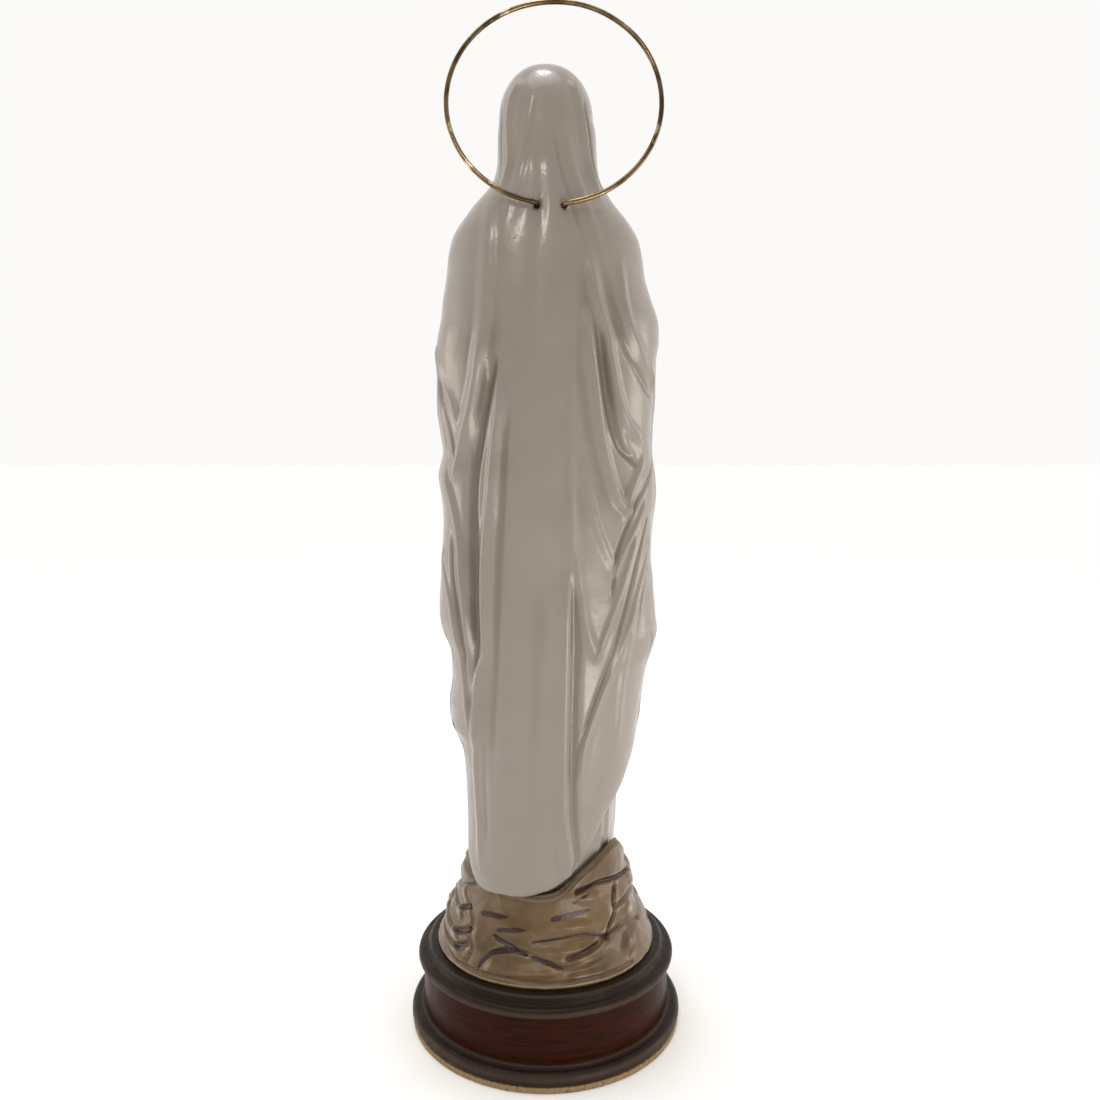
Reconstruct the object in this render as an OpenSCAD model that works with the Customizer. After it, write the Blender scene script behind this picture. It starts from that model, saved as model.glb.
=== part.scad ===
// Standing Madonna on a turned wooden plinth, with a wire halo plugged into the nape of the veil.
// Millimetres, +Z up. The figure faces -Y, its back is +Y and its left side is +X.

/* [Plinth] */
// Radius of the cork pad under the plinth
pad_r = 48.6; // [46:0.1:48.8]
// Thickness of the cork pad
pad_h = 2; // [1:0.1:3]
// Largest radius of the lower moulding
base_r = 49; // [49:0.1:51]
// Top of the lower moulding
base_top = 7.2; // [6.8:0.1:7.6]
// Radius of the drum
drum_r = 44.4; // [43:0.1:45]
// Top of the drum
drum_top = 23; // [20:0.5:24]
// Largest radius of the upper moulding
ledge_r = 46.4; // [45.6:0.1:47.4]
// Top of the plinth, where the rock stands
plinth_top = 29.5; // [29:0.1:30]

/* [Fixing] */
// Radius of the screw's shank
screw_r = 2.45; // [2:0.05:2.5]
// Height of the screw's tip
screw_tip = 42; // [38:1:43]
// Outer radius of the threaded insert
insert_r = 4.4; // [4:0.1:5]

/* [Figure] */
// Foot radius of the rock
rock_r = 39; // [37:0.5:40]
// Top of the veil over the head
crown_z = 333.5; // [333:0.5:335]
// Thickness that the sash stands off the dress
sash_t = 1.2; // [1:0.1:1.6]
// Radius of a rosary bead
bead_r = 1.05; // [0.9:0.05:1.1]
// Beads in the rosary's hanging loop
bead_count = 28; // [20:2:32]
// Height of the middle of the sash
waist_z = 228; // [222:1:234]

/* [Halo] */
// Radius of the halo's wire
wire_r = 0.8; // [0.6:0.05:0.8]
// Radius of the ring to the middle of the wire
halo_r = 34.5; // [32:0.5:35]
// Forward lean of the ring
halo_lean = 13; // [8:1:14]
// Sideways roll of the ring
halo_roll = 2; // [0:0.5:3]
// Distance between the two legs
leg_gap = 8.8; // [7:0.1:10]
// Middle of the two legs, across the figure
leg_x = -1.7; // [-2:0.1:0]
// Height of the two legs
leg_z = 284; // [282:1:286]
// Length of leg inside its hole
leg_in = 8; // [6:0.5:9]

/* [Hidden] */

wood_hole_r = 2.8;
pocket_r = 6.6;
pocket_top = 5.6;
washer_t = 1;
washer_r = 6.2;
washer_clear = 0.2;
screw_head_r = 4.6;
screw_head_h = 2.2;
insert_z = plinth_top + 1;
insert_h = 11;
insert_clear = 0.1;
hole_clear = 0.05;
hole_spare = 1;

// Veil's back surface at the legs, and where the legs turn up into the ring
nape_y = 21.6;
turn_y = nape_y + 2.4;

// Half the width of the sash round the waist
sash_half = 3.4;

// How far a piece is sunk into the one it is fixed on, and how far a cut runs past a face
sink = 0.4;
past = 1;

// Where the mantle's lining passes from the dress to the head, and the head's own top
neck_z = 283;
head_z = 284.5;
head_top = 320.5;

// Heights that the rock and the dress run between
rock_top = 58;
robe_low = 55.5;
robe_top = 285;

// Sections of the draped figure: height, then reach to the left, right, back and front
mantle_sections = [
    [50, 30, 27.5, 30.5, 27], [80, 29, 26, 29.5, 25], [105, 31, 31, 28.5, 24], [125, 34, 34, 28, 24],
    [150, 37, 38.5, 28, 24], [195, 36.6, 37.4, 27.6, 24], [222, 36.2, 36.8, 27.2, 24],
    [246, 37.4, 38.4, 26.6, 24], [262, 34.6, 35.2, 25.5, 21], [278, 32, 31.6, 23.4, 17.5],
    [286, 27, 27, 21.4, 16], [295, 20, 20.5, 19, 16.5], [306, 16.6, 17.4, 18.8, 17.5],
    [318, 15.4, 15.8, 18.6, 17.5], [324, 14.4, 14.6, 17, 15.6]
];
crown_sections = [
    [head_top, 15.2, 15.6, 18, 15.8], [324, 14.4, 14.6, 16.8, 15], [328, 12.6, 12.4, 14.4, 13],
    [331, 9.6, 9.4, 11, 10], [crown_z - 0.6, 5.8, 5.8, 6.8, 6.2], [crown_z, 2, 2, 2.4, 2.2]
];
robe_sections = [
    [55, 27.5, 25, 26, 28], [70, 27, 24.5, 25, 27], [100, 26.5, 26, 24, 25], [150, 29, 29.5, 23, 23],
    [195, 29, 29, 22, 20], [228, 26, 26, 20, 17.5], [248, 28, 28, 20, 18], [264, 26, 26, 17, 16],
    [274, 19, 19, 12, 12.5], [281, 9.6, 9.6, 8, 9], [285, 7.6, 7.6, 7, 7.6]
];
head_sections = [
    [284, 6.8, 6.8, 6.8, 6.6], [290, 6.6, 6.6, 8.6, 7], [293, 7, 7, 9.6, 14], [297, 9.4, 9.4, 11, 16],
    [303, 11.4, 11.4, 12.6, 16.4], [309, 12.2, 12.2, 13.4, 16.4], [315, 12.2, 12.2, 13.6, 16],
    [head_top, 11.8, 11.8, 13, 15]
];
rock_sections = [
    [plinth_top, rock_r, rock_r, rock_r, rock_r], [35, 38, 37.5, 38, 38.4], [42, 35.5, 34.5, 35.5, 37.5],
    [48, 33, 31.6, 33.4, 36.8], [54, 31, 30.4, 31.4, 36], [58, 29.6, 29.4, 30, 34.6]
];

// Folds down the back of the mantle: upper height and place, lower height and place, rise, half width
folds = [
    [285, 18.5, 180, 29, 1.6, 4], [250, 14.5, 120, 23.5, 1.8, 3.4], [268, -8, 60, -7.2, 1.5, 3.4],
    [275, -15.5, 220, -29, 1.7, 3.6], [250, -14, 196, -27.5, 1.6, 3.4], [200, -8.6, 140, -17, 1.5, 3.6],
    [186, -30, 100, -10.5, 1.4, 3.4], [176, -31, 116, -25, 1.3, 3.4], [140, 27, 104, 25.5, 1.4, 3.2]
];

// Height of the mantle's lower edge round the figure: angle, height
hem = [
    [-32, 150], [-14, 147], [-2, 139], [6, 108], [16, 101], [24, 60], [60, 57.5], [100, 57.5],
    [122, 62], [138, 76], [152, 84], [168, 100], [182, 138], [194, 148], [212, 152]
];
mantle_top = 322;
// Angle from the side to each front edge of the mantle, and the place of the rosary round the dress
mantle_edge = 32;
rosary_turn = -120;

function find(s, v, i = 0) = i >= len(s) - 2 || v <= s[i + 1][0] ? i : find(s, v, i + 1);

// Smooth curve through the rows of a list, read at v along its first column
function smooth(s, v) =
    let (
        i = find(s, v),
        p1 = s[i],
        p2 = s[i + 1],
        p0 = i > 0 ? s[i - 1] : p1,
        p3 = i < len(s) - 2 ? s[i + 2] : p2,
        u = (v - p1[0]) / (p2[0] - p1[0]),
        c = p1 + 0.5 * u * (p2 - p0 + u * (2 * p0 - 5 * p1 + 4 * p2 - p3 + u * (3 * (p1 - p2) + p3 - p0)))
    )
    [for (k = [0:len(c) - 1]) k == 0 ? v : c[k]];

// Point at angle t on a squarish oval of the section's four reaches, drawn in by gap
function oval(c, t, gap = 0, power = 0.88) = [
    (cos(t) >= 0 ? c[1] - gap : c[2] - gap) * sign(cos(t)) * pow(abs(cos(t)), power),
    (sin(t) >= 0 ? c[3] - gap : c[4] - gap) * sign(sin(t)) * pow(abs(sin(t)), power),
    c[0]
];

function bump(d, w) = abs(d) >= w ? 0 : (1 + cos(180 * d / w)) / 2;

// Rise of the folds at x and z on the back of the figure
function fold_rise(x, z, i = 0) =
    i == len(folds) ? 0 :
    let (
        f = folds[i],
        u = (z - f[2]) / (f[0] - f[2]),
        fade = u < -0.1 || u > 1.1 ? 0 : min(1, (u + 0.1) * 6, (1.1 - u) * 6)
    )
    fade * f[4] * bump(x - (f[3] + (f[1] - f[3]) * u), f[5]) + fold_rise(x, z, i + 1);

function grown(p, rise) =
    let (n = norm([p[0], p[1]]))
    n == 0 ? p : [p[0] * (1 + rise / n), p[1] * (1 + rise / n), p[2]];

// Outer face of the mantle, with its folds behind the arms only
function mantle_point(t, z) =
    let (p = oval(smooth(mantle_sections, z), t), highest = 2, settle = 0.8)
    sin(t) > 0 ? grown(p, min(highest, fold_rise(p[0], z)) - settle) : p;

// Inner face of the mantle, just under the face of the dress, neck and head that it lies on
function lining_point(t, z) =
    z < neck_z ?
    oval(smooth(robe_sections, z), t, sink) :
    oval(smooth(head_sections, min(z, head_top)), t, sink) + [0, 0, max(0, z - head_top)];

function hem_z(t) = smooth(hem, t)[1];

// Closed solid through a list of loops that have the same number of points
module skin(loops) {
    n = len(loops[0]);
    m = len(loops);
    sides = [
        for (j = [0:m - 2], i = [0:n - 1])
        let (a = j * n + i, b = j * n + (i + 1) % n)
        each [[a, a + n, b + n], [a, b + n, b]]
    ];
    low = [for (i = [0:n / 2 - 2]) each [[i, i + 1, n - 2 - i], [i, n - 2 - i, n - 1 - i]]];
    high = [for (f = low) [f[0] + (m - 1) * n, f[2] + (m - 1) * n, f[1] + (m - 1) * n]];
    polyhedron(points = [for (l = loops) each l], faces = concat(sides, low, high), convexity = 6);
}

// Closed solid through a list of sections, from z0 to z1
module loft(s, z0, z1, rings, around) {
    skin([
        for (k = [0:rings])
        let (c = smooth(s, z0 + (z1 - z0) * k / rings))
        [for (i = [0:around - 1]) oval(c, 360 * i / around)]
    ]);
}

// Band on the face of the dress between two angles and two heights
module dress_band(t0, t1, z0, z1, thick, rings, steps) {
    skin([
        for (k = [0:rings])
        let (c = smooth(robe_sections, z0 + (z1 - z0) * k / rings))
        concat(
            [for (i = [0:steps]) oval(c, t0 + (t1 - t0) * i / steps, -thick)],
            [for (i = [steps:-1:0]) oval(c, t0 + (t1 - t0) * i / steps, 0.3)]
        )
    ]);
}

function arc(x, z, r, from, to, steps = 8) =
    [for (i = [0:steps]) let (a = from + (to - from) * i / steps) [x + r * cos(a), z + r * sin(a)]];

module base_pad() {
    color([0.62, 0.52, 0.38])
    rotate_extrude($fn = 96)
    polygon([[0, 0], [pad_r, 0], [pad_r, pad_h], [0, pad_h]]);
}

module base_moulding() {
    side = 1.6;
    shoulder = 2;
    lip = 0.8;
    color([0.12, 0.1, 0.09])
    difference() {
        rotate_extrude($fn = 96)
        polygon(concat(
            [[wood_hole_r, pad_h]],
            arc(base_r - side, pad_h + side, side, -90, 0),
            arc(base_r - shoulder, base_top - lip - shoulder, shoulder, 0, 90),
            [[drum_r + lip, base_top - lip], [drum_r + lip, base_top], [wood_hole_r, base_top]]
        ));
        translate([0, 0, pad_h - past])
        cylinder(h = pocket_top - pad_h + past, r = pocket_r, $fn = 64);
    }
}

module plinth_drum() {
    color([0.2, 0.07, 0.04])
    rotate_extrude($fn = 96)
    polygon([[wood_hole_r, base_top], [drum_r, base_top], [drum_r, drum_top], [wood_hole_r, drum_top]]);
}

module top_moulding() {
    bead = 1.8;
    bead_low = drum_top + 0.2;
    neck_r = 44;
    step = 1.2;
    step_r = neck_r - 1.4;
    color([0.12, 0.1, 0.09])
    rotate_extrude($fn = 96)
    polygon(concat(
        [[wood_hole_r, drum_top]],
        arc(ledge_r - bead, bead_low + bead, bead, -90, 90),
        [[neck_r, bead_low + 2 * bead]],
        arc(step_r - step, plinth_top - step, step, 0, 90, 5),
        [[wood_hole_r, plinth_top]]
    ));
}

module fixing_screw() {
    low = pocket_top - washer_t - screw_head_h;
    hex_deep = 1.4;
    hex_r = 1.7;
    color([0.6, 0.6, 0.62])
    difference() {
        union() {
            translate([0, 0, low])
            cylinder(h = screw_head_h, r = screw_head_r, $fn = 48);
            translate([0, 0, low + 1])
            cylinder(h = screw_tip - low - 1, r = screw_r, $fn = 48);
        }
        translate([0, 0, low - past])
        cylinder(h = hex_deep + past, r = hex_r, $fn = 6);
    }
}

module fixing_washer() {
    color([0.7, 0.7, 0.72])
    translate([0, 0, pocket_top - washer_t])
    difference() {
        cylinder(h = washer_t, r = washer_r, $fn = 48);
        translate([0, 0, -past])
        cylinder(h = washer_t + 2 * past, r = screw_r + washer_clear, $fn = 48);
    }
}

module threaded_insert() {
    color([0.75, 0.6, 0.3])
    translate([0, 0, insert_z])
    difference() {
        cylinder(h = insert_h, r = insert_r, $fn = 48);
        translate([0, 0, -past])
        cylinder(h = insert_h + 2 * past, r = screw_r + hole_clear, $fn = 48);
    }
}

module rock() {
    color([0.45, 0.38, 0.27])
    difference() {
        loft(rock_sections, plinth_top, rock_top, 6, 36);
        translate([0, 0, plinth_top - past])
        cylinder(h = insert_z + insert_h + 1 - plinth_top + past, r = insert_r + insert_clear, $fn = 48);
    }
}

module robe() {
    color([0.86, 0.84, 0.8])
    loft(robe_sections, robe_low, robe_top, 20, 36);
}

module mantle() {
    rings = 26;
    steps = 30;
    drill_past = 6;
    color([0.9, 0.88, 0.84])
    difference() {
        union() {
            skin([
                for (k = [0:rings])
                concat(
                    [
                        for (i = [0:steps])
                        let (t = -mantle_edge + (180 + 2 * mantle_edge) * i / steps, z0 = hem_z(t))
                        mantle_point(t, z0 + (mantle_top - z0) * k / rings)
                    ],
                    [
                        for (i = [steps:-1:0])
                        let (t = -mantle_edge + (180 + 2 * mantle_edge) * i / steps, z0 = hem_z(t))
                        lining_point(t, z0 + (mantle_top - z0) * k / rings)
                    ]
                )
            ]);
            loft(crown_sections, head_top, crown_z, 7, 28);
        }
        for (side = [-1, 1])
            translate([leg_x + side * leg_gap / 2, nape_y + drill_past, leg_z])
            rotate([90, 0, 0])
            cylinder(h = leg_in + hole_spare + drill_past, r = wire_r + hole_clear, $fn = 32);
    }
}

module head() {
    color([0.82, 0.66, 0.54])
    loft(head_sections, head_z, head_top, 12, 24);
}

module hair() {
    rings = 7;
    steps = 8;
    reach = 2.2;
    low = 298;
    half_turn = 10;
    color([0.36, 0.22, 0.12])
    for (mid = [218, -38])
        skin([
            for (k = [0:rings])
            let (c = smooth(head_sections, low + (head_top - low) * k / rings), from = mid - half_turn)
            concat(
                [for (i = [0:steps]) oval(c, from + 2 * half_turn * i / steps, -reach)],
                [for (i = [steps:-1:0]) oval(c, from + 2 * half_turn * i / steps, sink)]
            )
        ]);
}

// Wide sleeve from the elbow to the wrist, hanging below the forearm
module sleeve(side) {
    color([0.88, 0.86, 0.82])
    hull() {
        for (p = [[27, -8, 240, 9], [9, -26, 252, 6], [15, -19, 222, 6], [26, -10, 214, 7]])
            translate([side * p[0], p[1], p[2]])
            sphere(r = p[3], $fn = 20);
    }
}

module left_sleeve() {
    sleeve(1);
}

module right_sleeve() {
    sleeve(-1);
}

// Hand with the fingers pointing up and forward, its palm towards the middle plane
module hand(side) {
    palm_gap = 0.2;
    color([0.82, 0.66, 0.54])
    intersection() {
        hull() {
            for (p = [[2.4, -27, 258, 4.2], [2, -34, 270, 3.4], [1.2, -37, 283, 2]])
                translate([side * p[0], p[1], p[2]])
                sphere(r = p[3], $fn = 18);
        }
        translate([side > 0 ? palm_gap : -20 - palm_gap, -60, 240])
        cube([20, 60, 60]);
    }
}

module left_hand() {
    hand(1);
}

module right_hand() {
    hand(-1);
}

module sash() {
    color([0.35, 0.5, 0.72])
    dress_band(-152, -28, waist_z - sash_half, waist_z + sash_half, sash_t, 2, 16);
}

// Two tails side by side, the one on the left a little longer
module sash_tails() {
    color([0.35, 0.5, 0.72]) {
        dress_band(-104, -91.5, 112, waist_z - sash_half, sash_t, 8, 4);
        dress_band(-88.5, -76, 100, waist_z - sash_half, sash_t, 8, 4);
    }
}

// Bead number i of the loop that hangs down the right of the dress
function bead_place(i) =
    let (
        side = i < bead_count / 2 ? -1 : 1,
        middle = (bead_count - 1) / 2,
        u = abs(i - middle) / middle,
        t = rosary_turn + side * (2.6 + 10 * pow(u, 0.6)),
        z = 151 + 62 * u
    )
    oval(smooth(robe_sections, z), t, -0.7);

module rosary_beads() {
    color([0.78, 0.62, 0.25])
    for (i = [0:bead_count - 1])
        translate(bead_place(i))
        sphere(r = bead_r, $fn = 24);
}

module rosary_cross() {
    thick = 1.4;
    tall = 10;
    wide = 5.6;
    middle_z = 144;
    color([0.78, 0.62, 0.25])
    translate(oval(smooth(robe_sections, middle_z), rosary_turn, -sink)) {
        translate([-thick / 2, -0.8, -tall / 2])
        cube([thick, thick, tall]);
        translate([-wide / 2, -0.8, 0])
        cube([wide, thick, thick]);
    }
}

module foot(side) {
    color([0.82, 0.66, 0.54])
    hull() {
        for (p = [[7, -22, 60.5, 4], [7.6, -30, 59.6, 2.4], [5, -31.4, 59.3, 2]])
            translate([side * p[0], p[1], p[2]])
            sphere(r = p[3], $fn = 18);
    }
}

module left_foot() {
    foot(1);
}

module right_foot() {
    foot(-1);
}

// Rose on the instep: a low cup with a raised heart
module rose(side) {
    color([0.8, 0.64, 0.25])
    translate([side * 6.6, -29.6, 61.2])
    rotate([18, 0, 0])
    rotate_extrude($fn = 32)
    polygon([[0, 0], [1.6, 0], [2.5, 1], [2.6, 1.9], [1.6, 1.5], [1.2, 2.4], [0, 2.7]]);
}

module left_rose() {
    rose(1);
}

module right_rose() {
    rose(-1);
}

// Open wire ring, leaning forward, with both ends turned into legs that enter the nape
module halo() {
    half_gap = asin(leg_gap / 2 / halo_r);
    drop = halo_r * cos(half_gap);
    knee_r = wire_r * 1.5;
    color([0.85, 0.7, 0.35]) {
        translate([leg_x, turn_y, leg_z])
        rotate([halo_lean, 0, 0])
        rotate([0, -halo_roll, 0])
        translate([0, 0, drop])
        rotate([90, 0, 0])
        rotate([0, 0, -90 + half_gap])
        rotate_extrude(angle = 360 - 2 * half_gap, $fn = 96)
        translate([halo_r, 0])
        circle(r = wire_r, $fn = 24);
        for (side = [-1, 1]) {
            translate([leg_x + side * leg_gap / 2, turn_y, leg_z])
            sphere(r = knee_r, $fn = 24);
            translate([leg_x + side * leg_gap / 2, turn_y, leg_z])
            rotate([90, 0, 0])
            cylinder(h = turn_y - nape_y + leg_in, r = wire_r, $fn = 32);
        }
    }
}

base_pad();
base_moulding();
plinth_drum();
top_moulding();
fixing_screw();
fixing_washer();
threaded_insert();
rock();
robe();
mantle();
head();
hair();
left_sleeve();
right_sleeve();
left_hand();
right_hand();
sash();
sash_tails();
rosary_beads();
rosary_cross();
left_foot();
right_foot();
left_rose();
right_rose();
halo();
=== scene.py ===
"""Looks of a standing Madonna with a wire halo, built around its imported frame.

Lengths in this script are millimetres in the part's frame (+Z up, the figure faces -Y) until
make_mesh() writes them in metres. The floor, lights and camera are in metres.
"""

import math

import bpy
import numpy as np
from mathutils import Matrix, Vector


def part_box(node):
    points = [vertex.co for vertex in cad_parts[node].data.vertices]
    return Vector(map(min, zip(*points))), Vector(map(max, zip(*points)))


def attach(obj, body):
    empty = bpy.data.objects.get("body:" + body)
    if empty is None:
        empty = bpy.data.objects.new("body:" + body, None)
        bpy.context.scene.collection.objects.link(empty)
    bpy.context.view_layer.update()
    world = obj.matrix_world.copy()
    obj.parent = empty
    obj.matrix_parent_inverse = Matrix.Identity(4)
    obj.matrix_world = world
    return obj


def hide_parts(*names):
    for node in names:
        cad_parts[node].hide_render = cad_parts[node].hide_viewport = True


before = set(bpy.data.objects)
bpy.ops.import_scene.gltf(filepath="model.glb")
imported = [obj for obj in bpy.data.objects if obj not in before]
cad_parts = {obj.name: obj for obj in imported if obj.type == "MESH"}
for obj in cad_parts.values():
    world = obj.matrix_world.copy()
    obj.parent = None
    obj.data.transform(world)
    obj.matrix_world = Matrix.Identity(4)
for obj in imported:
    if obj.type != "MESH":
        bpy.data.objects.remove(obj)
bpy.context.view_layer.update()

MM = 0.001
DOME_POWER = 2.05  # 2 would round the head's dome like an ellipse; more squares it off
BODY = "statue"


def side_mm(node):
    """Lowest and highest corners of a CAD node, in millimetres."""
    low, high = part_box(node)
    return np.array(low) / MM, np.array(high) / MM


PLINTH_TOP = side_mm("top_moulding")[1][2]
CROWN = side_mm("mantle")[1][2]


# ---------------------------------------------------------------- curves, noise and folds

def smooth_rows(rows, at, level=True):
    """Smooth curve through rows of (place, value...), read at the places in at.

    level keeps the curve from swinging past its own points.
    """
    rows = np.array(rows, float)
    rows = rows[np.argsort(rows[:, 0])]
    x, y = rows[:, 0], rows[:, 1:]
    slope = np.diff(y, axis=0) / np.diff(x)[:, None]
    tangent = np.vstack([slope[:1], (slope[1:] + slope[:-1]) / 2, slope[-1:]])
    if level:
        end = np.zeros_like(slope[:1])
        turns = np.vstack([end, (slope[1:] * slope[:-1]) <= 0, end])
        tangent = np.where(turns > 0, 0, tangent)
    at = np.clip(np.asarray(at, float), x[0], x[-1])
    i = np.clip(np.searchsorted(x, at) - 1, 0, len(x) - 2)
    h = (x[i + 1] - x[i])[..., None]
    u = ((at - x[i])[..., None]) / h
    return (
        (2 * u**3 - 3 * u**2 + 1) * y[i]
        + (u**3 - 2 * u**2 + u) * h * tangent[i]
        + (3 * u**2 - 2 * u**3) * y[i + 1]
        + (u**3 - u**2) * h * tangent[i + 1]
    )


def smooth_step(low, high, v):
    """Goes smoothly from 0 at low to 1 at high."""
    u = np.clip((v - low) / (high - low), 0, 1)
    return u * u * (3 - 2 * u)


def hashed(i, j, k, seed):
    """Repeatable random numbers from 0 to 1 for whole-number places, mixed by large primes."""
    n = i * 73856093 ^ j * 19349663 ^ k * 83492791 ^ seed * 2654435761
    n = (n ^ (n >> 13)) * 1274126177
    return ((n ^ (n >> 16)) & 0xFFFFFF) / float(0xFFFFFF)


def noise(p, size, seed=1):
    """Smooth value noise from -1 to 1 at points p, with features of the given size."""
    q = p / size
    base = np.floor(q).astype(np.int64)
    f = q - base
    f = f * f * (3 - 2 * f)
    total = 0
    for a in (0, 1):
        for b in (0, 1):
            for c in (0, 1):
                w = (
                    (f[..., 0] if a else 1 - f[..., 0])
                    * (f[..., 1] if b else 1 - f[..., 1])
                    * (f[..., 2] if c else 1 - f[..., 2])
                )
                corner = base + (a, b, c)
                total = total + w * hashed(corner[..., 0], corner[..., 1], corner[..., 2], seed)
    return total * 2 - 1


def oval(c, t, power):
    """Points at angles t on squarish ovals; c holds the reach to the left, right, back and front."""
    cos, sin = np.cos(t), np.sin(t)
    x = np.where(cos >= 0, c[..., 0], c[..., 1]) * np.sign(cos) * np.abs(cos) ** power
    y = np.where(sin >= 0, c[..., 2], c[..., 3]) * np.sign(sin) * np.abs(sin) ** power
    return x, y


class Drape:
    """A surface round the figure: a squarish oval at every height.

    sections are rows of (height, reach to the left, right, back and front). From dome_from to
    crown the ovals close in over the top. seam is the angle in degrees where unrolling cuts it.
    """

    def __init__(self, sections, power=0.88, crown=None, dome_from=None, seam=-90):
        self.sections = sections
        self.power = power
        self.angles = np.radians(np.linspace(seam, seam + 360, 721))
        self.crown = crown
        self.dome_from = dome_from

    def reach(self, z):
        c = smooth_rows(self.sections, z)
        if self.crown is not None:
            u = np.clip((z - self.dome_from) / (self.crown - self.dome_from), 0, 1)
            shrink = np.maximum(1 - u**DOME_POWER, 0) ** (1 / DOME_POWER)
            c = c * shrink[..., None]
        return c

    def base(self, t, z):
        x, y = oval(self.reach(z), t, self.power)
        return np.stack([x, y, z + 0 * x], -1)

    def along(self, z):
        """Table for one height: angles, x, and arc length from the point opposite the seam."""
        t = self.angles
        p = self.base(t, np.full_like(t, z))
        step = np.linalg.norm(np.diff(p[:, :2], axis=0), axis=1)
        length = np.concatenate([[0], np.cumsum(step)])
        length = np.interp(t[0] + math.pi, t, length) - length
        return t, p[:, 0], length

    def unroll(self, t, z):
        """Arc length from opposite the seam for arrays of angles and heights."""
        heights = np.linspace(z.min(), z.max(), 90)
        table = np.array([self.along(h)[2] for h in heights])
        angles = self.angles
        a = np.clip((t - angles[0]) / (angles[1] - angles[0]), 0, len(angles) - 1.001)
        b = np.clip((z - heights[0]) / (heights[1] - heights[0]), 0, len(heights) - 1.001)
        i, j = a.astype(int), b.astype(int)
        u, v = a - i, b - j
        return (
            table[j, i] * (1 - u) * (1 - v) + table[j, i + 1] * u * (1 - v)
            + table[j + 1, i] * (1 - u) * v + table[j + 1, i + 1] * u * v
        )


def profile(d, sharp):
    """Cross-section of a fold: 1 on its crest and 0 at distance 1.

    sharp goes from 0, a round crest, to 1, a keen one.
    """
    d = np.clip(np.abs(d), 0, 1)
    round_top = (1 + np.cos(np.pi * d)) / 2
    keen = (1 - d) ** 2
    return round_top * (1 - sharp) + keen * sharp


# ---------------------------------------------------------------- meshes

def make_mesh(name, points, faces, body=BODY):
    """A smooth-shaded piece from points in millimetres and each face's corner numbers."""
    mesh = bpy.data.meshes.new(name)
    points = np.asarray(points, float).reshape(-1, 3) * MM
    if isinstance(faces, np.ndarray):
        count, corners = faces.shape
        mesh.vertices.add(len(points))
        mesh.vertices.foreach_set("co", points.ravel())
        mesh.loops.add(count * corners)
        mesh.loops.foreach_set("vertex_index", faces.ravel().astype(np.int32))
        mesh.polygons.add(count)
        mesh.polygons.foreach_set("loop_start", np.arange(0, count * corners, corners, dtype=np.int32))
        mesh.update(calc_edges=True)
        mesh.validate()
    else:
        mesh.from_pydata(points.tolist(), [], faces)
    mesh.polygons.foreach_set("use_smooth", [True] * len(mesh.polygons))
    mesh.update()
    piece = bpy.data.objects.new(name, mesh)
    bpy.context.scene.collection.objects.link(piece)
    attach(piece, body)
    return piece


def grid_faces(rows, columns, around=False):
    """Quads of a grid of points, whose columns close up when it goes all the way around."""
    across = columns if around else columns - 1
    i, j = np.meshgrid(np.arange(rows - 1), np.arange(across), indexing="ij")
    k = (j + 1) % columns
    a = i * columns + j
    b = i * columns + k
    return np.stack([a, b, b + columns, a + columns], -1).reshape(-1, 4)


def set_value(piece, name, values):
    """Stores one number for each point of a piece, for its material to read."""
    layer = piece.data.attributes.new(name, "FLOAT", "POINT")
    layer.data.foreach_set("value", np.asarray(values, np.float32).ravel())


def lathe(name, outline, segments=256):
    """A turned piece from its outline of (radius, height), from the axis round to the axis."""
    outline = np.array(outline, float)
    t = np.linspace(0, 2 * math.pi, segments, endpoint=False)
    radius, height = outline[:, 0], outline[:, 1:2]
    points = np.stack(
        [np.outer(radius, np.cos(t)), np.outer(radius, np.sin(t)), np.repeat(height, segments, 1)], -1
    )
    return make_mesh(name, points, grid_faces(len(outline), segments, around=True))


def arc(x, z, r, start, end, steps=10):
    """Points on an arc in (radius, height), with angles in degrees."""
    return [
        (x + r * math.cos(math.radians(a)), z + r * math.sin(math.radians(a)))
        for a in np.linspace(start, end, steps + 1)
    ]


def unit(v):
    """Vectors of length one."""
    return v / np.maximum(np.linalg.norm(v, axis=-1, keepdims=True), 1e-9)


def curve(points, count):
    """Evenly spaced points on a smooth curve through the given ones."""
    points = np.array(points, float)
    place = np.concatenate([[0], np.cumsum(np.linalg.norm(np.diff(points, axis=0), axis=1))])
    rows = np.column_stack([place, points])
    return smooth_rows(rows, np.linspace(0, place[-1], count), level=False)


def sweep_points(path, outline, across=None):
    """Rings of points along a path; outline gives each ring's offsets, sideways and upwards.

    The rings' second axis stays near the direction across. Without it they turn as little as
    they can.
    """
    path = np.asarray(path, float)
    tangent = unit(np.gradient(path, axis=0))
    if across is None:
        # to start with, any direction that no path here sets out along
        side = [unit(np.cross(tangent[0], (0.31, 0.17, 0.94)))]
        for t in tangent[1:]:
            side.append(unit(side[-1] - t * (side[-1] @ t)))
        side = np.array(side)
    else:
        side = unit(np.cross(tangent, across))
    up = np.cross(side, tangent)
    outline = np.broadcast_to(outline, (len(path),) + np.shape(outline)[-2:])
    return path[:, None] + side[:, None] * outline[..., :1] + up[:, None] * outline[..., 1:]


def capped(rings, start=0):
    """Faces of rings of points that close up around, with a face over each end."""
    rows, columns = rings.shape[:2]
    faces = (grid_faces(rows, columns, around=True) + start).tolist()
    first = list(range(start + columns - 1, start - 1, -1))
    last = list(range(start + (rows - 1) * columns, start + rows * columns))
    return faces + [first, last]


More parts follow.
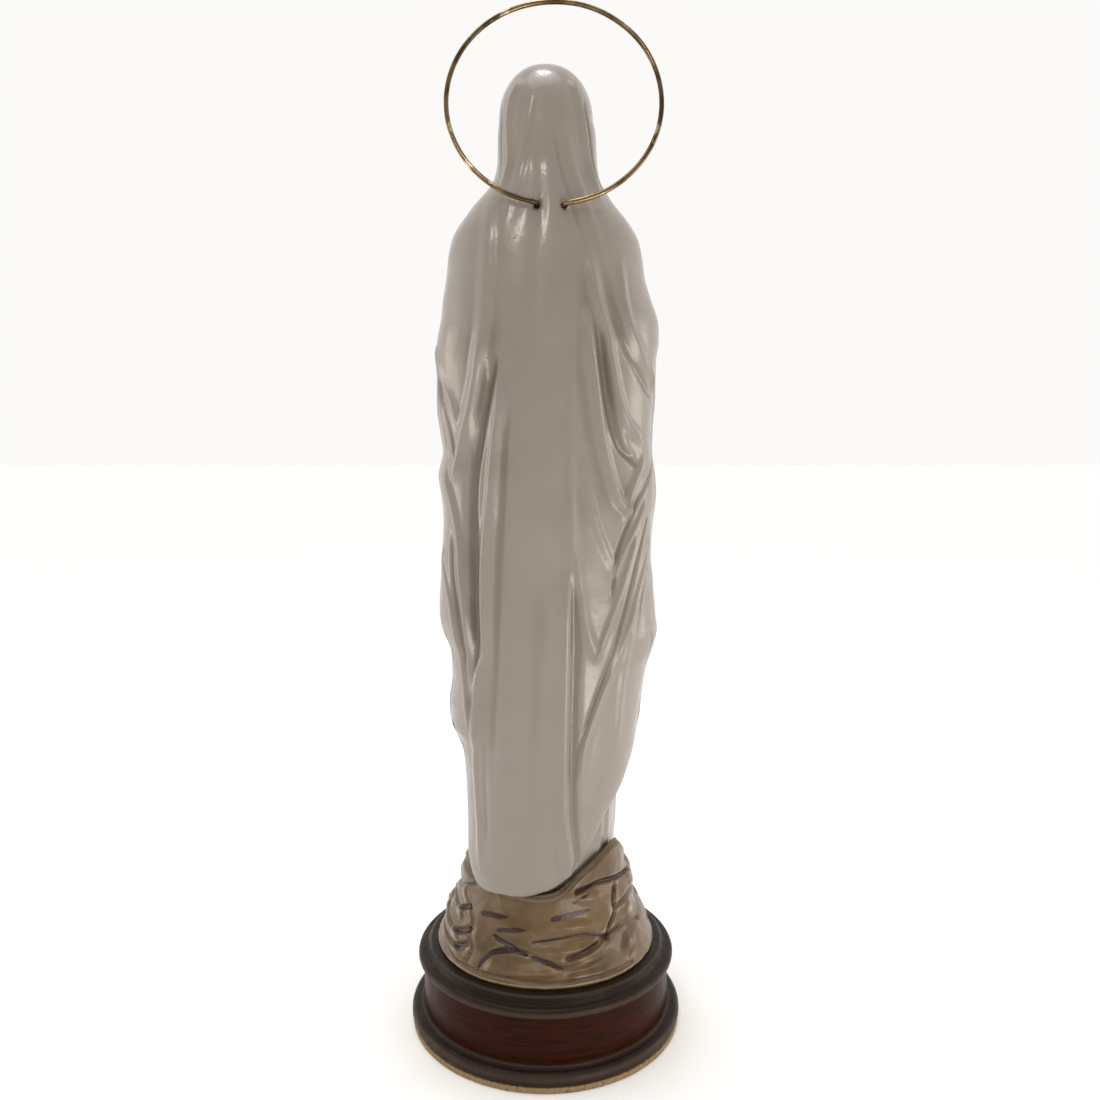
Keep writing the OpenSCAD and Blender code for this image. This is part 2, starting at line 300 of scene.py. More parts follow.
def circle(steps):
    """Points round a circle of radius one."""
    a = np.linspace(0, 2 * math.pi, steps, endpoint=False)
    return np.stack([np.cos(a), np.sin(a)], -1)


# ---------------------------------------------------------------- solids by distance

def egg(p, centre, reach):
    """About the distance to an ellipsoid."""
    q = (p - centre) / reach
    a = np.linalg.norm(q, axis=-1)
    b = np.linalg.norm(q / reach, axis=-1)
    return a * (a - 1) / np.maximum(b, 1e-6)


def bone(p, a, b, ra, rb=None):
    """Distance to a rod from a to b with round ends, of radius ra, or tapering from ra to rb."""
    a, b = np.array(a, float), np.array(b, float)
    rb = ra if rb is None else rb
    h = np.clip(((p - a) @ (b - a)) / ((b - a) @ (b - a)), 0, 1)
    return np.linalg.norm(p - a - h[..., None] * (b - a), axis=-1) - (ra + (rb - ra) * h)


def join(a, b, soft):
    """Distance to both shapes, with a soft fillet where they meet."""
    h = np.clip(0.5 + 0.5 * (b - a) / soft, 0, 1)
    return b * (1 - h) + a * h - soft * h * (1 - h)


def carve(a, b, soft):
    """What is left of a outside b."""
    return -join(-a, b, soft)


def surface_net(distance, low, high, cell, relax=2):
    """Points and quads of the surface where a distance function is zero.

    Each cell of a grid from low to high that the surface passes through gets one point.
    """
    axes = [np.arange(a, b + cell, cell) for a, b in zip(low, high)]
    d = distance(np.stack(np.meshgrid(*axes, indexing="ij"), -1))
    shape = np.array(d.shape) - 1
    total, count, edges = np.zeros((*shape, 3)), np.zeros(shape), []
    for axis in range(3):
        near = np.take(d, range(shape[axis]), axis)
        far = np.take(d, range(1, shape[axis] + 1), axis)
        crossing = (near < 0) != (far < 0)
        share = np.where(crossing, near / np.where(crossing, near - far, 1), 0)
        edges.append((crossing, near < 0))
        others = [k for k in range(3) if k != axis]
        for i in (0, 1):
            for j in (0, 1):
                cut = [slice(None)] * 3
                cut[others[0]] = slice(i, shape[others[0]] + i)
                cut[others[1]] = slice(j, shape[others[1]] + j)
                hit = crossing[tuple(cut)]
                count += hit
                total[..., axis] += np.where(hit, share[tuple(cut)], 0)
                total[..., others[0]] += hit * i
                total[..., others[1]] += hit * j
    used = count > 0
    number = np.full(tuple(shape), -1)
    number[used] = np.arange(used.sum())
    place = np.argwhere(used) + total[used] / count[used][:, None]
    points = np.array(low, float) + place * cell
    faces = []
    for axis, (crossing, inside) in enumerate(edges):
        b, c = (axis + 1) % 3, (axis + 2) % 3
        cut = [slice(None)] * 3
        cut[b] = slice(1, shape[b])
        cut[c] = slice(1, shape[c])
        where = np.argwhere(crossing[tuple(cut)])
        flip = ~inside[tuple(cut)][tuple(where.T)]
        where[:, b] += 1
        where[:, c] += 1
        corners = []
        for db, dc in ((1, 1), (0, 1), (0, 0), (1, 0)):
            at = where.copy()
            at[:, b] -= db
            at[:, c] -= dc
            corners.append(number[tuple(at.T)])
        quads = np.stack(corners, -1)
        quads[flip] = quads[flip][:, ::-1]
        faces.append(quads)
    faces = np.vstack(faces)
    for _ in range(relax):
        points = relaxed(points, faces, distance, cell)
    return points, faces


def relaxed(points, faces, distance, cell):
    """Evens the points of a surface net out, then puts them back on the surface."""
    mean, near = np.zeros_like(points), np.zeros(len(points))
    for a, b in ((0, 1), (1, 2), (2, 3), (3, 0)):
        for i, j in ((faces[:, a], faces[:, b]), (faces[:, b], faces[:, a])):
            np.add.at(mean, i, points[j])
            np.add.at(near, i, 1)
    points = points * 0.4 + 0.6 * mean / near[:, None]
    tiny = cell * 0.2
    here = distance(points)
    slope = np.stack([distance(points + tiny * e) - here for e in np.eye(3)], -1) / tiny
    return points - np.clip(here, -cell, cell)[:, None] * unit(slope) * 0.9


# ---------------------------------------------------------------- materials

def srgb(r, g, b):
    """A linear colour from the 0 to 255 values that the eye sees."""
    def line(v):
        v = v / 255
        return v / 12.92 if v <= 0.04045 else ((v + 0.055) / 1.055) ** 2.4
    return (line(r), line(g), line(b), 1)


COAT_ROUGHNESS = 0.17
RED_GREEN_BLUE_REACH = (0.003, 0.002, 0.0015)  # of light in the paint, in metres before the scale


class Material:
    """Builds one procedural material from its nodes.

    tint, roughen and raise_by lay colour, roughness and bump over what is there, and done()
    joins them to the shader.
    """

    def __init__(self, name, colour, roughness, metallic=0, coat=0, specular=0.5, subsurface=0):
        self.material = bpy.data.materials.new(name)
        self.material.use_nodes = True
        self.tree = self.material.node_tree
        self.shader = self.tree.nodes["Principled BSDF"]
        sockets = self.shader.inputs
        sockets["Metallic"].default_value = metallic
        sockets["Specular IOR Level"].default_value = specular
        sockets["Coat Weight"].default_value = coat
        sockets["Coat Roughness"].default_value = COAT_ROUGHNESS
        sockets["Subsurface Weight"].default_value = subsurface
        sockets["Subsurface Radius"].default_value = RED_GREEN_BLUE_REACH
        sockets["Subsurface Scale"].default_value = 0.5
        self.place = self.add("ShaderNodeTexCoord").outputs["Object"]
        self.colour = colour
        self.rough = (roughness,) * 3 + (1,)
        self.height = None

    def add(self, kind, **settings):
        node = self.tree.nodes.new(kind)
        for name, value in settings.items():
            setattr(node, name, value)
        return node

    def link(self, source, target):
        self.tree.links.new(source, target)

    def mix(self, factor, a, b):
        """Goes from a to b where factor is high; a is a colour or another node's output."""
        node = self.add("ShaderNodeMix", data_type="RGBA")
        self.link(factor, node.inputs["Factor"])
        if isinstance(a, tuple):
            node.inputs["A"].default_value = a
        else:
            self.link(a, node.inputs["A"])
        node.inputs["B"].default_value = b
        return node.outputs["Result"]

    def texture(self, scale, detail=3.0, stretch=(1, 1, 1), distort=0.0):
        """Cloud pattern from 0 to 1 with features of 1/scale metres, finer along stretched axes."""
        mapping = self.add("ShaderNodeMapping")
        mapping.inputs["Scale"].default_value = stretch
        self.link(self.place, mapping.inputs["Vector"])
        node = self.add("ShaderNodeTexNoise")
        node.inputs["Scale"].default_value = scale
        node.inputs["Detail"].default_value = detail
        node.inputs["Roughness"].default_value = 0.55
        node.inputs["Distortion"].default_value = distort
        self.link(mapping.outputs["Vector"], node.inputs["Vector"])
        return node.outputs["Fac"]

    def attribute(self, name):
        """The number that set_value stored for each point."""
        return self.add("ShaderNodeAttribute", attribute_name=name).outputs["Fac"]

    def ramp(self, source, low, high, out_low=0.0, out_high=1.0):
        """Goes smoothly from out_low where source is low to out_high where it is high."""
        node = self.add("ShaderNodeMapRange", interpolation_type="SMOOTHSTEP")
        ends = {"From Min": low, "From Max": high, "To Min": out_low, "To Max": out_high}
        for name, value in ends.items():
            node.inputs[name].default_value = value
        self.link(source, node.inputs["Value"])
        return node.outputs["Result"]

    def math(self, operation, a, b):
        node = self.add("ShaderNodeMath", operation=operation)
        for socket, value in zip(node.inputs, (a, b)):
            if isinstance(value, (int, float)):
                socket.default_value = value
            else:
                self.link(value, socket)
        return node.outputs[0]

    def tint(self, factor, colour):
        """Mixes a colour in where factor is high."""
        self.colour = self.mix(factor, self.colour, colour)

    def roughen(self, factor, value):
        """Mixes another roughness in where factor is high."""
        self.rough = self.mix(factor, self.rough, (value,) * 3 + (1,))

    def raise_by(self, height, amount):
        """Adds height to the bump, in millimetres."""
        scaled = self.math("MULTIPLY", height, amount)
        self.height = scaled if self.height is None else self.math("ADD", self.height, scaled)

    def done(self):
        """Joins what was built to the shader and gives the material back."""
        self.link(self.colour, self.shader.inputs["Base Color"])
        if isinstance(self.rough, tuple):
            self.shader.inputs["Roughness"].default_value = self.rough[0]
        else:
            self.link(self.rough, self.shader.inputs["Roughness"])
        if self.height is not None:
            bump = self.add("ShaderNodeBump")
            bump.inputs["Strength"].default_value = 1.0
            bump.inputs["Distance"].default_value = MM
            self.link(self.height, bump.inputs["Height"])
            self.link(bump.outputs["Normal"], self.shader.inputs["Normal"])
            self.link(bump.outputs["Normal"], self.shader.inputs["Coat Normal"])
        return self.material


def white_paint():
    """White paint toned for the photo's dim light: satin gloss, brush marks, pits, specks, and painted
    shade in the hollows.
    """
    m = Material("white_paint", srgb(138, 129, 120), 0.3, coat=0.5)
    cloud = m.texture(60, 4)
    m.tint(m.ramp(cloud, 0.35, 0.75, 0, 0.35), srgb(130, 120, 110))
    # painted shade: darker where the hollow mark is high, in fold valleys, recesses and holes
    m.tint(m.ramp(m.attribute("hollow"), 0.2, 1.0, 0, 0.6), srgb(106, 92, 77))
    speck = m.ramp(m.texture(900, 2), 0.735, 0.76)
    m.tint(m.math("MULTIPLY", speck, 0.4), srgb(112, 94, 78))
    m.roughen(m.ramp(m.texture(140, 3), 0.35, 0.7), 0.44)
    m.raise_by(m.texture(220, 3), 0.09)
    m.raise_by(m.ramp(m.texture(1100, 2), 0.62, 0.8), -0.05)
    m.raise_by(m.texture(420, 2, stretch=(1, 1, 0.2)), 0.03)
    return m


def gold_edge(m):
    """Gold line painted where the cloth's edge attribute is high."""
    edge = m.attribute("edge")
    wobble = m.math("MULTIPLY", m.math("SUBTRACT", m.texture(500, 3), 0.5), 0.35)
    line = m.ramp(m.math("ADD", edge, wobble), 0.45, 0.55)
    m.tint(line, srgb(176, 138, 62))
    m.roughen(line, 0.3)
    return m


def rock_paint():
    """Olive brown glaze over a lighter ground, with dark brush strokes, painted shade in the cracks and
    painted highlights on the crests and the rim.
    """
    m = Material("rock_paint", srgb(100, 79, 52), 0.3, coat=0.2, specular=0.3)
    m.tint(m.ramp(m.texture(70, 4), 0.35, 0.7), srgb(80, 61, 38))
    m.tint(m.ramp(m.texture(160, 4), 0.5, 0.75, 0, 0.6), srgb(120, 99, 70))
    # painted shade in the cracks and hollows
    m.tint(m.ramp(m.attribute("hollow"), 0.2, 0.9, 0, 0.7), srgb(50, 33, 19))
    # painted highlight on the crests and along the rim
    m.tint(m.ramp(m.attribute("crest"), 0.25, 0.95, 0, 0.8), srgb(172, 154, 128))
    ragged = m.math("SUBTRACT", m.texture(620, 4, stretch=(1, 1, 2.5)), 0.5)
    stroke = m.math("ADD", m.attribute("stroke"), m.math("MULTIPLY", ragged, 1.1))
    m.tint(m.ramp(stroke, 0.5, 0.85, 0, 0.95), srgb(42, 16, 7))
    m.roughen(m.ramp(m.texture(200, 3), 0.4, 0.7), 0.4)
    m.raise_by(m.texture(260, 4), 0.14)
    m.raise_by(m.texture(900, 2), 0.05)
    return m


def lacquer():
    """Near-black lacquer on turned wood, painted a little browner on the edges as highlights."""
    m = Material("black_lacquer", srgb(32, 22, 16), 0.4, coat=0.02, specular=0.12)
    m.tint(m.ramp(m.texture(130, 4), 0.4, 0.75, 0, 0.6), srgb(46, 34, 26))
    # painted highlight along the turned edges
    m.tint(m.ramp(m.attribute("edge_highlight"), 0.35, 1.0, 0, 0.4), srgb(84, 66, 54))
    m.tint(m.ramp(m.texture(1400, 2), 0.66, 0.74, 0, 0.3), srgb(104, 90, 80))
    m.roughen(m.ramp(m.texture(300, 3), 0.4, 0.7), 0.55)
    m.raise_by(m.texture(500, 3, stretch=(1, 1, 0.3)), 0.05)
    return m


def mahogany():
    """Dark red-brown lacquer with the wood's grain just showing round the drum."""
    m = Material("mahogany", srgb(50, 18, 7), 0.34, specular=0.07)
    grain = m.texture(70, 5, stretch=(1, 1, 14), distort=0.6)
    m.tint(m.ramp(grain, 0.4, 0.7), srgb(28, 10, 5))
    m.tint(m.ramp(m.texture(260, 4, stretch=(1, 1, 10)), 0.55, 0.8, 0, 0.5), srgb(60, 22, 10))
    # painted highlight: paler along the drum's lower edge
    m.tint(m.ramp(m.attribute("edge_highlight"), 0.3, 1.0, 0, 0.5), srgb(92, 52, 34))
    m.roughen(m.ramp(m.texture(240, 3), 0.4, 0.7), 0.42)
    m.raise_by(grain, 0.05)
    return m


def cork():
    """Bare cork: tan grains with dark flecks."""
    m = Material("cork", srgb(150, 128, 96), 0.85, specular=0.25)
    cells = m.add("ShaderNodeTexVoronoi")
    cells.inputs["Scale"].default_value = 900
    m.link(m.place, cells.inputs["Vector"])
    m.tint(m.ramp(cells.outputs["Distance"], 0.2, 0.8, 0, 0.5), srgb(118, 94, 64))
    m.tint(m.ramp(m.texture(700, 3), 0.62, 0.7, 0, 0.8), srgb(78, 56, 36))
    m.raise_by(cells.outputs["Distance"], 0.2)
    return m


def brass_wire():
    """Polished brass wire, darkened to stand in for the dark room it reflects, with bright stretches as
    painted highlights, and finely drawn along its length.
    """
    # painted reflection: dark base colour for the dark surroundings the polished wire mirrors
    m = Material("halo_brass", srgb(132, 111, 82), 0.16, metallic=1.0)
    # painted reflection: brown patches of the same dark surroundings
    m.tint(m.ramp(m.texture(90, 2), 0.42, 0.62, 0, 0.9), srgb(80, 62, 43))
    # painted highlights: bright stretches along the wire
    m.tint(m.ramp(m.texture(140, 2), 0.58, 0.68, 0, 0.8), srgb(206, 186, 152))
    m.tint(m.ramp(m.texture(700, 3), 0.6, 0.72, 0, 0.5), srgb(58, 44, 30))
    m.roughen(m.ramp(m.texture(260, 3), 0.4, 0.7), 0.28)
    m.raise_by(m.texture(900, 2), 0.012)
    return m


def flesh_paint():
    """Hand-painted flesh: warm base, rosy cheeks and lips, brown brows and lids."""
    m = Material("flesh_paint", srgb(232, 194, 168), 0.38, coat=0.2, subsurface=0.15)
    m.tint(m.ramp(m.texture(180, 3), 0.35, 0.7, 0, 0.45), srgb(222, 180, 152))
    # painted shade in the mouth's parting and the nostrils
    m.tint(m.ramp(m.attribute("hollow"), 0.15, 0.9, 0, 0.5), srgb(176, 112, 84))
    m.tint(m.ramp(m.attribute("blush"), 0.05, 1.0, 0, 0.42), srgb(216, 140, 120))
    wobble = m.math("MULTIPLY", m.math("SUBTRACT", m.texture(1500, 2), 0.5), 0.25)
    m.tint(m.ramp(m.math("ADD", m.attribute("lips"), wobble), 0.4, 0.6, 0, 0.85), srgb(176, 76, 70))
    m.tint(m.ramp(m.math("ADD", m.attribute("brow"), wobble), 0.42, 0.58, 0, 0.8), srgb(104, 70, 46))
    m.roughen(m.ramp(m.texture(300, 3), 0.4, 0.7), 0.46)
    m.raise_by(m.texture(700, 3), 0.03)
    return m


def eye_paint():
    """Painted eyes: off-white, a blue-grey iris with a dark rim and a dark pupil."""
    m = Material("eye_paint", srgb(236, 230, 222), 0.14, coat=0.6)
    m.tint(m.ramp(m.texture(900, 3), 0.4, 0.7, 0, 0.4), srgb(226, 208, 198))
    ring = m.attribute("ring")
    m.tint(m.ramp(ring, 0.58, 0.52), srgb(50, 48, 46))
    streaks = m.math("MULTIPLY", m.texture(4000, 2), 0.06)
    m.tint(m.ramp(m.math("ADD", ring, streaks), 0.49, 0.42), srgb(112, 118, 116))
    m.tint(m.ramp(ring, 0.24, 0.2), srgb(18, 14, 12))
    m.raise_by(m.texture(800, 2), 0.01)
    return m


def hair_paint():
    """Brown painted hair, with painted highlights on the strands' crests and painted shade between the
    strands.
    """
    m = Material("hair_paint", srgb(112, 74, 44), 0.42, coat=0.25)
    m.tint(m.ramp(m.texture(260, 3), 0.35, 0.7, 0, 0.6), srgb(92, 58, 34))
    # painted highlight on the crests
    m.tint(m.ramp(m.attribute("crest"), 0.3, 1.0, 0, 0.7), srgb(158, 114, 70))
    # painted shade between the strands
    m.tint(m.ramp(m.attribute("hollow"), 0.2, 1.0, 0, 0.8), srgb(52, 30, 18))
    m.roughen(m.ramp(m.texture(400, 3), 0.4, 0.7), 0.52)
    m.raise_by(m.texture(1300, 2), 0.04)
    return m


def blue_paint():
    """Sky blue paint with painted highlights on its crests and painted shade in its folds."""
    m = Material("blue_paint", srgb(104, 148, 192), 0.36, coat=0.25)
    m.tint(m.ramp(m.texture(120, 4), 0.35, 0.7, 0, 0.6), srgb(86, 130, 178))
    # painted highlight on the crests
    m.tint(m.ramp(m.attribute("crest"), 0.3, 1.0, 0, 0.5), srgb(156, 188, 216))
    # painted shade in the folds
    m.tint(m.ramp(m.attribute("hollow"), 0.2, 1.0, 0, 0.7), srgb(46, 80, 128))
    m.roughen(m.ramp(m.texture(260, 3), 0.4, 0.7), 0.48)
    m.raise_by(m.texture(500, 3), 0.06)
    return m


def gold_paint():
    """Gold paint with darker patches here and there, and painted shade in the low places."""
    m = Material("gold_paint", srgb(196, 156, 78), 0.3, metallic=0.75, coat=0.2)
    m.tint(m.ramp(m.texture(300, 4), 0.4, 0.75, 0, 0.6), srgb(160, 118, 54))
    # painted shade in the low places
    m.tint(m.ramp(m.attribute("hollow"), 0.2, 1.0, 0, 0.8), srgb(88, 56, 26))
    m.roughen(m.ramp(m.texture(500, 3), 0.4, 0.7), 0.45)
    m.raise_by(m.texture(900, 2), 0.05)
    return m


def plated_steel():
    """Zinc-plated steel with faint spangle and handling marks."""
    m = Material("zinc_steel", srgb(186, 188, 190), 0.3, metallic=1.0)
    m.tint(m.ramp(m.texture(400, 3), 0.4, 0.7, 0, 0.6), srgb(150, 152, 150))
    m.tint(m.ramp(m.texture(1500, 2), 0.62, 0.7, 0, 0.5), srgb(110, 108, 100))
    m.roughen(m.ramp(m.texture(600, 3), 0.4, 0.7), 0.45)
    m.raise_by(m.texture(1200, 2), 0.03)
    return m


def raw_brass():
    """Machined brass, a little dulled."""
    m = Material("raw_brass", srgb(196, 164, 96), 0.32, metallic=1.0)
    m.tint(m.ramp(m.texture(400, 3), 0.4, 0.7, 0, 0.6), srgb(164, 130, 72))
    m.roughen(m.ramp(m.texture(700, 3), 0.4, 0.7), 0.45)
    m.raise_by(m.texture(1500, 2, stretch=(0.1, 0.1, 1)), 0.04)
    return m


# ---------------------------------------------------------------- sections and folds of the cloth

DEG = math.pi / 180
WIDTHS = [  # height, reach to the figure's left, reach to its right
    (50, 29.6, 26.6), (70, 29.2, 26.2), (80, 28.9, 26.2), (88, 28.9, 28.9), (97, 29.2, 30.9),
    (104, 30.2, 32.2), (111, 33.6, 32.8), (118, 33.6, 33.7), (125, 32.9, 34.8), (132, 33.2, 36.1),
    (137, 33.6, 37.9), (143, 36.2, 39.3), (150, 37.4, 38.8), (161, 36.8, 37.8), (172, 36.1, 37.0),
    (182, 35.8, 37.6), (190, 36.2, 38.2), (197, 36.9, 37.8), (206, 35.4, 36.7), (213, 36.1, 36.6),
    (220, 36.8, 36.9), (230, 36.8, 37.4), (237, 37.5, 38.1), (243, 37.1, 38.9), (250, 35.8, 38.5),
    (257, 35.0, 36.3), (264, 33.8, 34.1), (272, 32.9, 32.9), (277, 31.6, 31.5), (280, 30.0, 29.8),
    (283, 27.7, 27.6), (287, 24.6, 24.2), (290, 22.0, 22.1), (293, 19.6, 20.2), (296, 17.9, 18.8),
    (300, 16.6, 17.9), (306, 16.1, 17.3), (312, 15.7, 16.6), (316, 15.4, 15.8), (334, 15.4, 15.8),
]
DEPTHS = [  # height, reach to the back, reach to the front
    (50, 30.4, 27), (105, 28.6, 26), (150, 28.0, 26), (195, 27.6, 25.5), (230, 27.1, 25),
    (250, 26.5, 24), (262, 25.4, 21.5), (272, 24.0, 19), (280, 22.6, 17.5), (287, 21.2, 16.6),
    (293, 19.7, 16.8), (300, 18.8, 17.4), (310, 18.9, 17.8), (316, 18.7, 17.8), (334, 18.7, 17.8),
]
DOME_FROM = 316


def merged(widths, depths):
    """Sections with all four reaches, from the two lists."""
    heights = sorted({r[0] for r in widths} | {r[0] for r in depths})
    return [(h, *smooth_rows(widths, h), *smooth_rows(depths, h)) for h in heights]


def fold(path, rise, widths, sharp=0.3, fades=(8, 8), by_angle=False):
    """A fold along path, of (height, x on the back) or, round the sides, (height, angle in degrees).

    widths are its half widths towards the figure's left and right, fades its upper and lower
    run-outs.
    """
    return {
        "path": sorted(path), "rise": rise, "widths": widths, "sharp": sharp, "fades": fades,
        "by_angle": by_angle,
    }


BACK_FOLDS = [
    # left: the long soft ridge from the shoulder, the deep valley and the edge of the back panel
    fold([(282, 17.5), (266, 18.5), (251, 19.5), (235, 21)], 0.9, (5, 4), 0.2, (14, 10)),
    fold([(240, 20.5), (219, 24.5), (207, 27.5), (198, 29.5)], 1.7, (4.5, 3.2), 0.35, (16, 3)),
    fold([(232, 17.5), (215, 21), (193, 24.2), (177, 24.2), (160, 23.6), (142, 22.8)],
         -3.0, (4.2, 3.4), 0.1, (8, 18)),
    fold([(222, 14.5), (209, 16.6), (193, 18), (177, 19.8), (160, 21), (144, 21.5), (126, 23), (113, 24)],
         1.5, (2.4, 4.6), 0.25, (9, 8)),
    fold([(230, 12.2), (222, 13.2), (190, 14.2), (157, 15.6), (124, 17), (103, 18)],
         -0.55, (2.6, 3.5), 0.1, (5, 12)),
    fold([(197, 33), (189, 31), (176, 28.6), (164, 28), (151, 26.5), (139, 25.2), (128, 24.6)],
         1.5, (2.8, 2.4), 0.35, (5, 8)),
    fold([(176, 31.6), (163, 31), (151, 29), (139, 27)], -1.0, (2.2, 2.2), 0.2, (6, 8)),
    fold([(170, 34.8), (163, 34), (151, 31.5), (139, 29), (126, 27.2), (116, 26.4)],
         1.0, (2.2, 2.2), 0.35, (6, 8)),
    fold([(112, 23.5), (98, 24), (80, 23), (68, 22.6)], 0.7, (2.6, 2.6), 0.3, (6, 8)),
    fold([(108, 20.6), (92, 20.4), (76, 20.2)], -0.4, (2, 2.4), 0.2, (6, 8)),
    # left elbow: the upper layer ends in a slanting edge over the one below
    fold([(240, 36.6), (231, 35), (222, 31.5), (215, 29.2)], 0.9, (1.0, 4.0), 0.75, (3, 3)),
    fold([(234, 36.8), (224, 34.6), (212, 31.4), (205, 30.2)], -0.9, (2.2, 1.4), 0.2, (3, 5)),
    fold([(232, 37.2), (218, 35), (206, 33)], 0.7, (1.6, 1.8), 0.4, (3, 6)),
    # middle: broad flat panel with one long crest that grows keen towards the hem
    fold([(256, -8.4), (219, -8.6), (190, -8.4), (160, -8)], 0.5, (3.2, 2.2), 0.5, (8, 14)),
    fold([(156, -7.6), (140, -7.4), (117, -6.8), (90, -6.4), (73, -8), (62, -9)],
         1.5, (5.5, 1.1), 0.7, (12, 6)),
    fold([(158, -9.2), (140, -9.2), (117, -8.8), (90, -8.6), (73, -10), (64, -11)],
         -1.0, (0.9, 4.5), 0.35, (10, 6)),
    fold([(160, 2.6), (124, 4), (90, 4.6), (66, 5)], -0.5, (9, 6), 0.0, (16, 14)),
    fold([(286, 2), (270, 3), (250, 4)], -0.3, (4, 4), 0.0, (6, 20)),
    # right: catenary folds that hang between the back and the right forearm
    fold([(262, -15.2), (254, -16.6), (244, -19.4), (235, -21), (223, -23.6), (215, -26.6), (210.5, -30)],
         2.0, (2.6, 3.4), 0.4, (12, 5)),
    fold([(246, -13.6), (239, -14.5), (228, -16), (209, -18.6), (199, -21), (190, -24.4), (186, -27.6)],
         1.9, (3.0, 3.0), 0.45, (8, 3)),
    fold([(262, -24.8), (254, -25.6), (245, -28), (236, -32.6), (229, -36)],
         1.3, (2.4, 3.0), 0.4, (10, 3)),
    fold([(250, -22.4), (240, -26), (232, -30.6), (225, -34.6)], -1.3, (2.6, 2.6), 0.1, (8, 4)),
    fold([(240, -18), (226, -19.8), (214, -22.2), (207, -24.8), (203.5, -27.6)],
         -2.2, (2.4, 3.4), 0.05, (10, 5)),
    fold([(202, -32), (196, -29.6), (189, -27.4), (185, -26.8)], 1.3, (2.2, 2.4), 0.35, (5, 4)),
    fold([(200, -36), (190, -31), (182, -27.6), (173, -24.2), (160, -22.4)],
         -1.0, (1.3, 1.4), 0.3, (4, 5)),
    fold([(196, -13.8), (183, -17), (174, -20.4), (168, -23)], 0.8, (3.4, 2.2), 0.25, (10, 2)),
    fold([(188, -33), (180, -29.6), (172, -25.4), (166, -23.4)], 1.1, (1.3, 1.5), 0.5, (4, 2)),
    fold([(190, -8.6), (177, -9.8), (161, -11.8), (148, -13.8), (138, -17)],
         1.0, (3.0, 2.4), 0.3, (12, 2)),
    fold([(176, -30), (164, -26.4), (154, -23), (144, -19.4), (138, -17.4)],
         1.0, (1.4, 1.4), 0.5, (4, 2)),
    fold([(184, -35), (172, -31.6), (160, -28.4), (146, -24.4), (134, -20.4), (122, -16), (112, -12.8)],
         -0.9, (1.2, 1.3), 0.4, (5, 8)),
    fold([(174, -35), (163, -32.4), (150, -28.6), (138, -24.4)], 0.7, (1.4, 1.6), 0.4, (5, 6)),
    fold([(132, -21.8), (124, -18.4), (117, -15.6), (109, -13), (98, -11.4)],
         1.0, (1.5, 3.4), 0.55, (6, 8)),
    fold([(165, -34.6), (155, -32.6), (147, -31.2)], 0.6, (1.2, 1.4), 0.5, (4, 4)),
    fold([(152, -30), (140, -27.6), (128, -25.8), (112, -24.6)], 0.6, (2.4, 3.0), 0.2, (6, 10)),
    fold([(158, -36.2), (147, -36.4), (136, -36)], -0.5, (1.2, 1.6), 0.2, (6, 6)),
    # veil: a crest near each side of the head, and soft runs from the nape to the shoulders
    fold([(324, 8.6), (318, 11.2), (309, 12), (300, 11.8), (293, 13.4)], 0.8, (1.8, 2.6), 0.35, (3, 8)),
    fold([(316, 14), (306, 14.6), (298, 14.4)], -0.5, (1.2, 1.4), 0.2, (5, 6)),
    fold([(324, -9), (316, -11.2), (306, -13), (298, -14.6), (290, -17)], 1.3, (3.2, 1.2), 0.6, (5, 5)),
    fold([(317, -13), (308, -14.6), (300, -16), (293, -18.4)], -0.9, (1.0, 1.2), 0.2, (4, 5)),
    fold([(314, 5), (304, 6.6), (294, 8.6), (284, 11.5)], 0.5, (2.6, 2.6), 0.1, (10, 12)),
    fold([(306, -3), (296, -5), (286, -8), (276, -11)], -0.45, (2.4, 2.4), 0.1, (8, 12)),
    fold([(306, -7), (296, -9.4), (286, -12.6), (276, -16)], 0.5, (2.4, 2.4), 0.1, (8, 14)),
    fold([(300, 2), (290, 1.4), (280, 1)], -0.3, (3, 3), 0.0, (8, 12)),
]


EDGE_SHARE = 0.985  # how near a fold's path may come to the outline seen from behind


def fold_places(drape, f):
    """Unrolled place of each point on a fold's path."""
    places = []
    for height, place in f["path"]:
        angles, xs, length = drape.along(height)
        if f["by_angle"]:
            places.append(np.interp(place * DEG, angles, length))
            continue
        back = (angles >= 0) & (angles <= math.pi)
        order = np.argsort(xs[back])
        low, high = EDGE_SHARE * xs[back].min(), EDGE_SHARE * xs[back].max()
        places.append(np.interp(np.clip(place, low, high), xs[back][order], length[back][order]))
    return places


